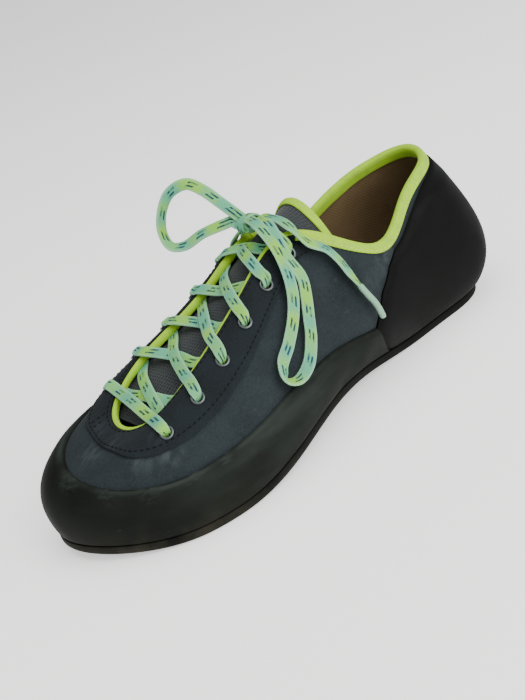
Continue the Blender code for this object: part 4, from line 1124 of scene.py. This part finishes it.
def make_eyestay(cloth):
    up, out = laid_outline(EYESTAY_OUTLINE, EYESTAY_FINENESS)
    ribs = np.linspace(EYESTAY_FROM, ROWS - EYESTAY_FROM, EYESTAY_STATIONS)[:, None]
    shares = eyestay_shares(ribs, up)
    return lapped_piece("eyestay_facing", ribs + 0 * up, shares, up, out, cloth, "eyestay")


def fold_corner(ribs, out, up):
    """Corner of a folded tape: below the edge it follows the wall, above it the way up out of the edge."""
    if up < 0:
        return skin(ribs, share_below_edge(ribs, -up), out)
    return skin(ribs, 1.0, out) + up * edge_up(ribs)


def make_edge_tape(name, first, last, fold, tape, node):
    """Tape folded over the edge of the opening, between two ribs."""
    ribs = np.linspace(first + FOLD_BUTT, last - FOLD_BUTT, FOLD_STATIONS)
    corners = [fold_corner(ribs, out * MM, up * MM) for out, up in section(fold, *TAPE_FINENESS)]
    return sweep(name, np.stack(corners, 1), tape, [node])


def make_tongue(cloth):
    """Padded tongue from flap to flap: under the outer edge, across the throat, under the inner edge."""
    flaps = np.array(TONGUE_FLAPS)
    top = []
    for station in np.linspace(0, TONGUE_TOP, TONGUE_STATIONS):
        outer_flap, inner_flap = (
            skin(rib, share_below_edge(rib, flaps), -TONGUE_DEPTH) for rib in tongue_row(station)[:2]
        )
        span = tongue_span(station, np.linspace(0, 1, TONGUE_SPAN_POINTS))
        across = np.vstack([outer_flap, span, inner_flap[::-1]])
        path, _ = smooth_path(across, TONGUE_PATH_STEP)
        top.append(path[np.linspace(0, len(path) - 1, TONGUE_ACROSS).astype(int)])
    top = np.array(top)
    face = unit(np.cross(np.gradient(top, axis=0), np.gradient(top, axis=1)))
    points = np.concatenate([top, (top - TONGUE_WALL * face)[:, ::-1]], 1)
    return sweep("tongue_pad", points, cloth, ["tongue"])


def make_tongue_tape(tape):
    across = np.linspace(*TONGUE_FOLD_ACROSS, TONGUE_TAPE_STATIONS)
    edge = tongue_span(TONGUE_TOP, across)
    away = unit(edge - tongue_span(TONGUE_TOP - TONGUE_STEP, across))
    out = unit(np.cross(np.gradient(edge, axis=0), away))
    out = out * np.sign(out[:, 2:])
    corners = section(TONGUE_FOLD, *TAPE_FINENESS) * MM
    points = edge[:, None] + out[:, None] * corners[:, :1] + away[:, None] * corners[:, 1:]
    return sweep("tongue_tape", points, tape, ["tongue_binding"])


def make_eyelets(steel, pieces_with_holes):
    """Turned eyelets, and the holes that they sit in."""
    drill = bmesh.new()
    for side in ("lateral", "medial"):
        for k in range(EYELET_PAIRS):
            way = Vector(normal(*eyelet_place(side, k)))
            turn = way.to_track_quat("Z", "Y").to_matrix().to_4x4()
            place = Matrix.Translation(Vector(eyelet_spot(side, k) + SHIFT)) @ turn
            bm = bmesh.new()
            corners = [bm.verts.new((radius * MM, 0, height * MM)) for radius, height in EYELET_PROFILE]
            edges = [bm.edges.new(pair) for pair in zip(corners, corners[1:] + corners[:1])]
            bmesh.ops.spin(
                bm, geom=corners + edges, cent=(0, 0, 0), axis=(0, 0, 1),
                angle=2 * math.pi, steps=EYELET_STEPS, use_merge=True,
            )
            bmesh.ops.remove_doubles(bm, verts=bm.verts, dist=MERGE)
            bmesh.ops.recalc_face_normals(bm, faces=bm.faces)
            bmesh.ops.transform(bm, matrix=place, verts=bm.verts)
            add_piece(f"ring_{side}_{k + 1}", bm, steel, [f"eyelet_{side}_{k + 1}"])
            bmesh.ops.create_cone(
                drill, cap_ends=True, segments=EYELET_STEPS, radius1=EYELET_HOLE, radius2=EYELET_HOLE,
                depth=DRILL_DEPTH, matrix=place,
            )
    cutter = new_object("eyelet_drill", new_mesh("eyelet_drill", drill))
    for piece in pieces_with_holes:
        cut = piece.modifiers.new("holes", "BOOLEAN")
        cut.object = cutter
        bpy.context.view_layer.update()
        made = bpy.data.meshes.new_from_object(piece.evaluated_get(bpy.context.evaluated_depsgraph_get()))
        piece.modifiers.clear()
        piece.data = made
    bpy.data.objects.remove(cutter)


def stitch_row(bm, points, ways):
    """Stitches along a line of points on the shoe: short rounded threads, half sunk."""
    runs = distances(points)
    for start in np.arange(0, runs[-1] - STITCH_LENGTH, STITCH_PITCH):
        first, last = between((start, start + STITCH_LENGTH), runs, points)
        along = Vector(last - first).normalized()
        side = along.cross(Vector(between(start, runs, ways))).normalized()
        turn = Matrix((side, side.cross(along), along)).transposed().to_4x4()
        size = Matrix.Diagonal((STITCH_RADIUS, STITCH_RADIUS * STITCH_FLAT, STITCH_LENGTH / 2, 1))
        centre = Vector((first + last) / 2 + SHIFT)
        bmesh.ops.create_uvsphere(
            bm, u_segments=STITCH_SIDES, v_segments=STITCH_RINGS, radius=1.0,
            matrix=Matrix.Translation(centre) @ turn @ size,
        )


def make_stitches(name, thread, out, rows):
    """Piece of thread: rows of stitches along ribs and shares, a step out from the last."""
    bm = bmesh.new()
    for ribs, shares in rows:
        stitch_row(bm, skin(ribs, shares, out), normal(ribs, shares))
    bmesh.ops.recalc_face_normals(bm, faces=bm.faces)
    add_piece(name, bm, thread)


def make_eyestay_stitches(thread):
    """Rows round the eyestay, and across its toe end."""
    first = EYESTAY_FROM + EYESTAY_STITCH_END
    ribs = np.linspace(first, ROWS - first, STITCH_LINE_POINTS)
    rows = [(ribs, eyestay_shares(ribs, up)) for up in EYESTAY_STITCH_UPS]
    across = np.linspace(*TOE_STITCH_SPAN, TOE_STITCH_POINTS)
    rows += [(rib, eyestay_shares(rib + 0 * across, across)) for rib in TOE_STITCH_RIBS]
    make_stitches("eyestay_stitches", thread, EYESTAY_STITCH_OUT, rows)


def make_collar_stitches(thread):
    """Row along the collar's tape."""
    first, last = THROAT_INNER - ROWS + COLLAR_STITCH_END, THROAT_OUTER - COLLAR_STITCH_END
    ribs = np.linspace(first, last, COLLAR_LINE_POINTS)
    rows = [(ribs, share_below_edge(ribs, COLLAR_STITCH_BELOW))]
    make_stitches("collar_stitches", thread, COLLAR_STITCH_OUT, rows)


def make_floor_and_light():
    """Plain pale floor and soft studio light."""
    bm = bmesh.new()
    bmesh.ops.create_grid(bm, x_segments=2, y_segments=2, size=FLOOR_SIZE)
    mesh = new_mesh("floor", bm)
    pale, _, _, _ = new_material(
        "pale_floor", Base_Color=linear("f7f7f5"), Roughness=0.9, Emission_Color=linear("ffffff"),
        Emission_Strength=FLOOR_GLOW,
    )
    mesh.materials.append(pale)
    floor = new_object("floor", mesh)
    for name, (place, size, power) in LAMPS.items():
        data = bpy.data.lights.new(name, "AREA")
        data.size = size
        data.energy = power
        lamp = new_object(name, data)
        lamp.location = place
        lamp.rotation_mode = "QUATERNION"
        lamp.rotation_quaternion = (-Vector(place)).to_track_quat("-Z", "Y")
    world = bpy.data.worlds.new("studio")
    world.use_nodes = True
    light = world.node_tree.nodes["Background"].inputs
    light["Color"].default_value = linear("f4f5f6")
    light["Strength"].default_value = WORLD_LIGHT
    bpy.context.scene.world = world


def dress_shoe():
    make_camera()
    braid = flecked_braid()
    make_lacing(braid)
    make_knot(braid)
    make_bow(braid, plain_finish("aglet_plastic", "80ab8c", 0.3, Specular_IOR_Level=0.4))
    tape = woven_tape()
    cloth = napped_microfibre("grey_microfibre", "1d2325", "293033", "4a5154", 0.9, CLOTH_RUBS)
    facing = napped_microfibre("black_microfibre", "14181a", "1e2427", "363d40", 0.7, FACING_RUBS)
    lining = lining_canvas("tan_lining", "54422c", "7d694a")
    upper_cloth, upper_lining = make_upper(cloth, lining)
    eyestay = make_eyestay(facing)
    make_rand(rolled_rubber("rand_rubber", "0f110d", "171a16", "3f4743", 0.45, 0.4, 0.4, RAND_RUBS))
    make_heel_rand(rolled_rubber("heel_rubber", "080908", "0f100f", "222422", 0.3, 0.3, 0.0))
    sole = rolled_rubber("sole_rubber", "0e0f0d", "181916", "36362f", 0.35, 0.5, 0.8)
    make_slab(
        "rubber_sole", sole, "outsole", 0.0, 0.0, SOLE_THICKNESS, SOLE_EDGE_RADIUS, worn=True,
    )
    make_slab(
        "footbed", lining_canvas("footbed_felt", "5f5140", "857254"), "insole",
        FOOTBED_INSET, FOOTBED_HEIGHT, FOOTBED_THICKNESS, FOOTBED_EDGE_RADIUS,
    )
    make_edge_tape("collar_tape", THROAT_INNER - ROWS, THROAT_OUTER, COLLAR_FOLD, tape, "collar_binding")
    make_edge_tape("throat_tape", THROAT_OUTER, THROAT_INNER, THROAT_FOLD, tape, "throat_binding")
    make_tongue(spacer_mesh())
    make_tongue_tape(tape)
    make_eyelets(plated_steel(), (upper_cloth, upper_lining, eyestay))
    make_eyestay_stitches(plain_finish("black_thread", "0b0d0e", 0.7, Specular_IOR_Level=0.1))
    make_collar_stitches(plain_finish("lime_thread", "b4cf52", 0.7))
    make_floor_and_light()


dress_shoe()
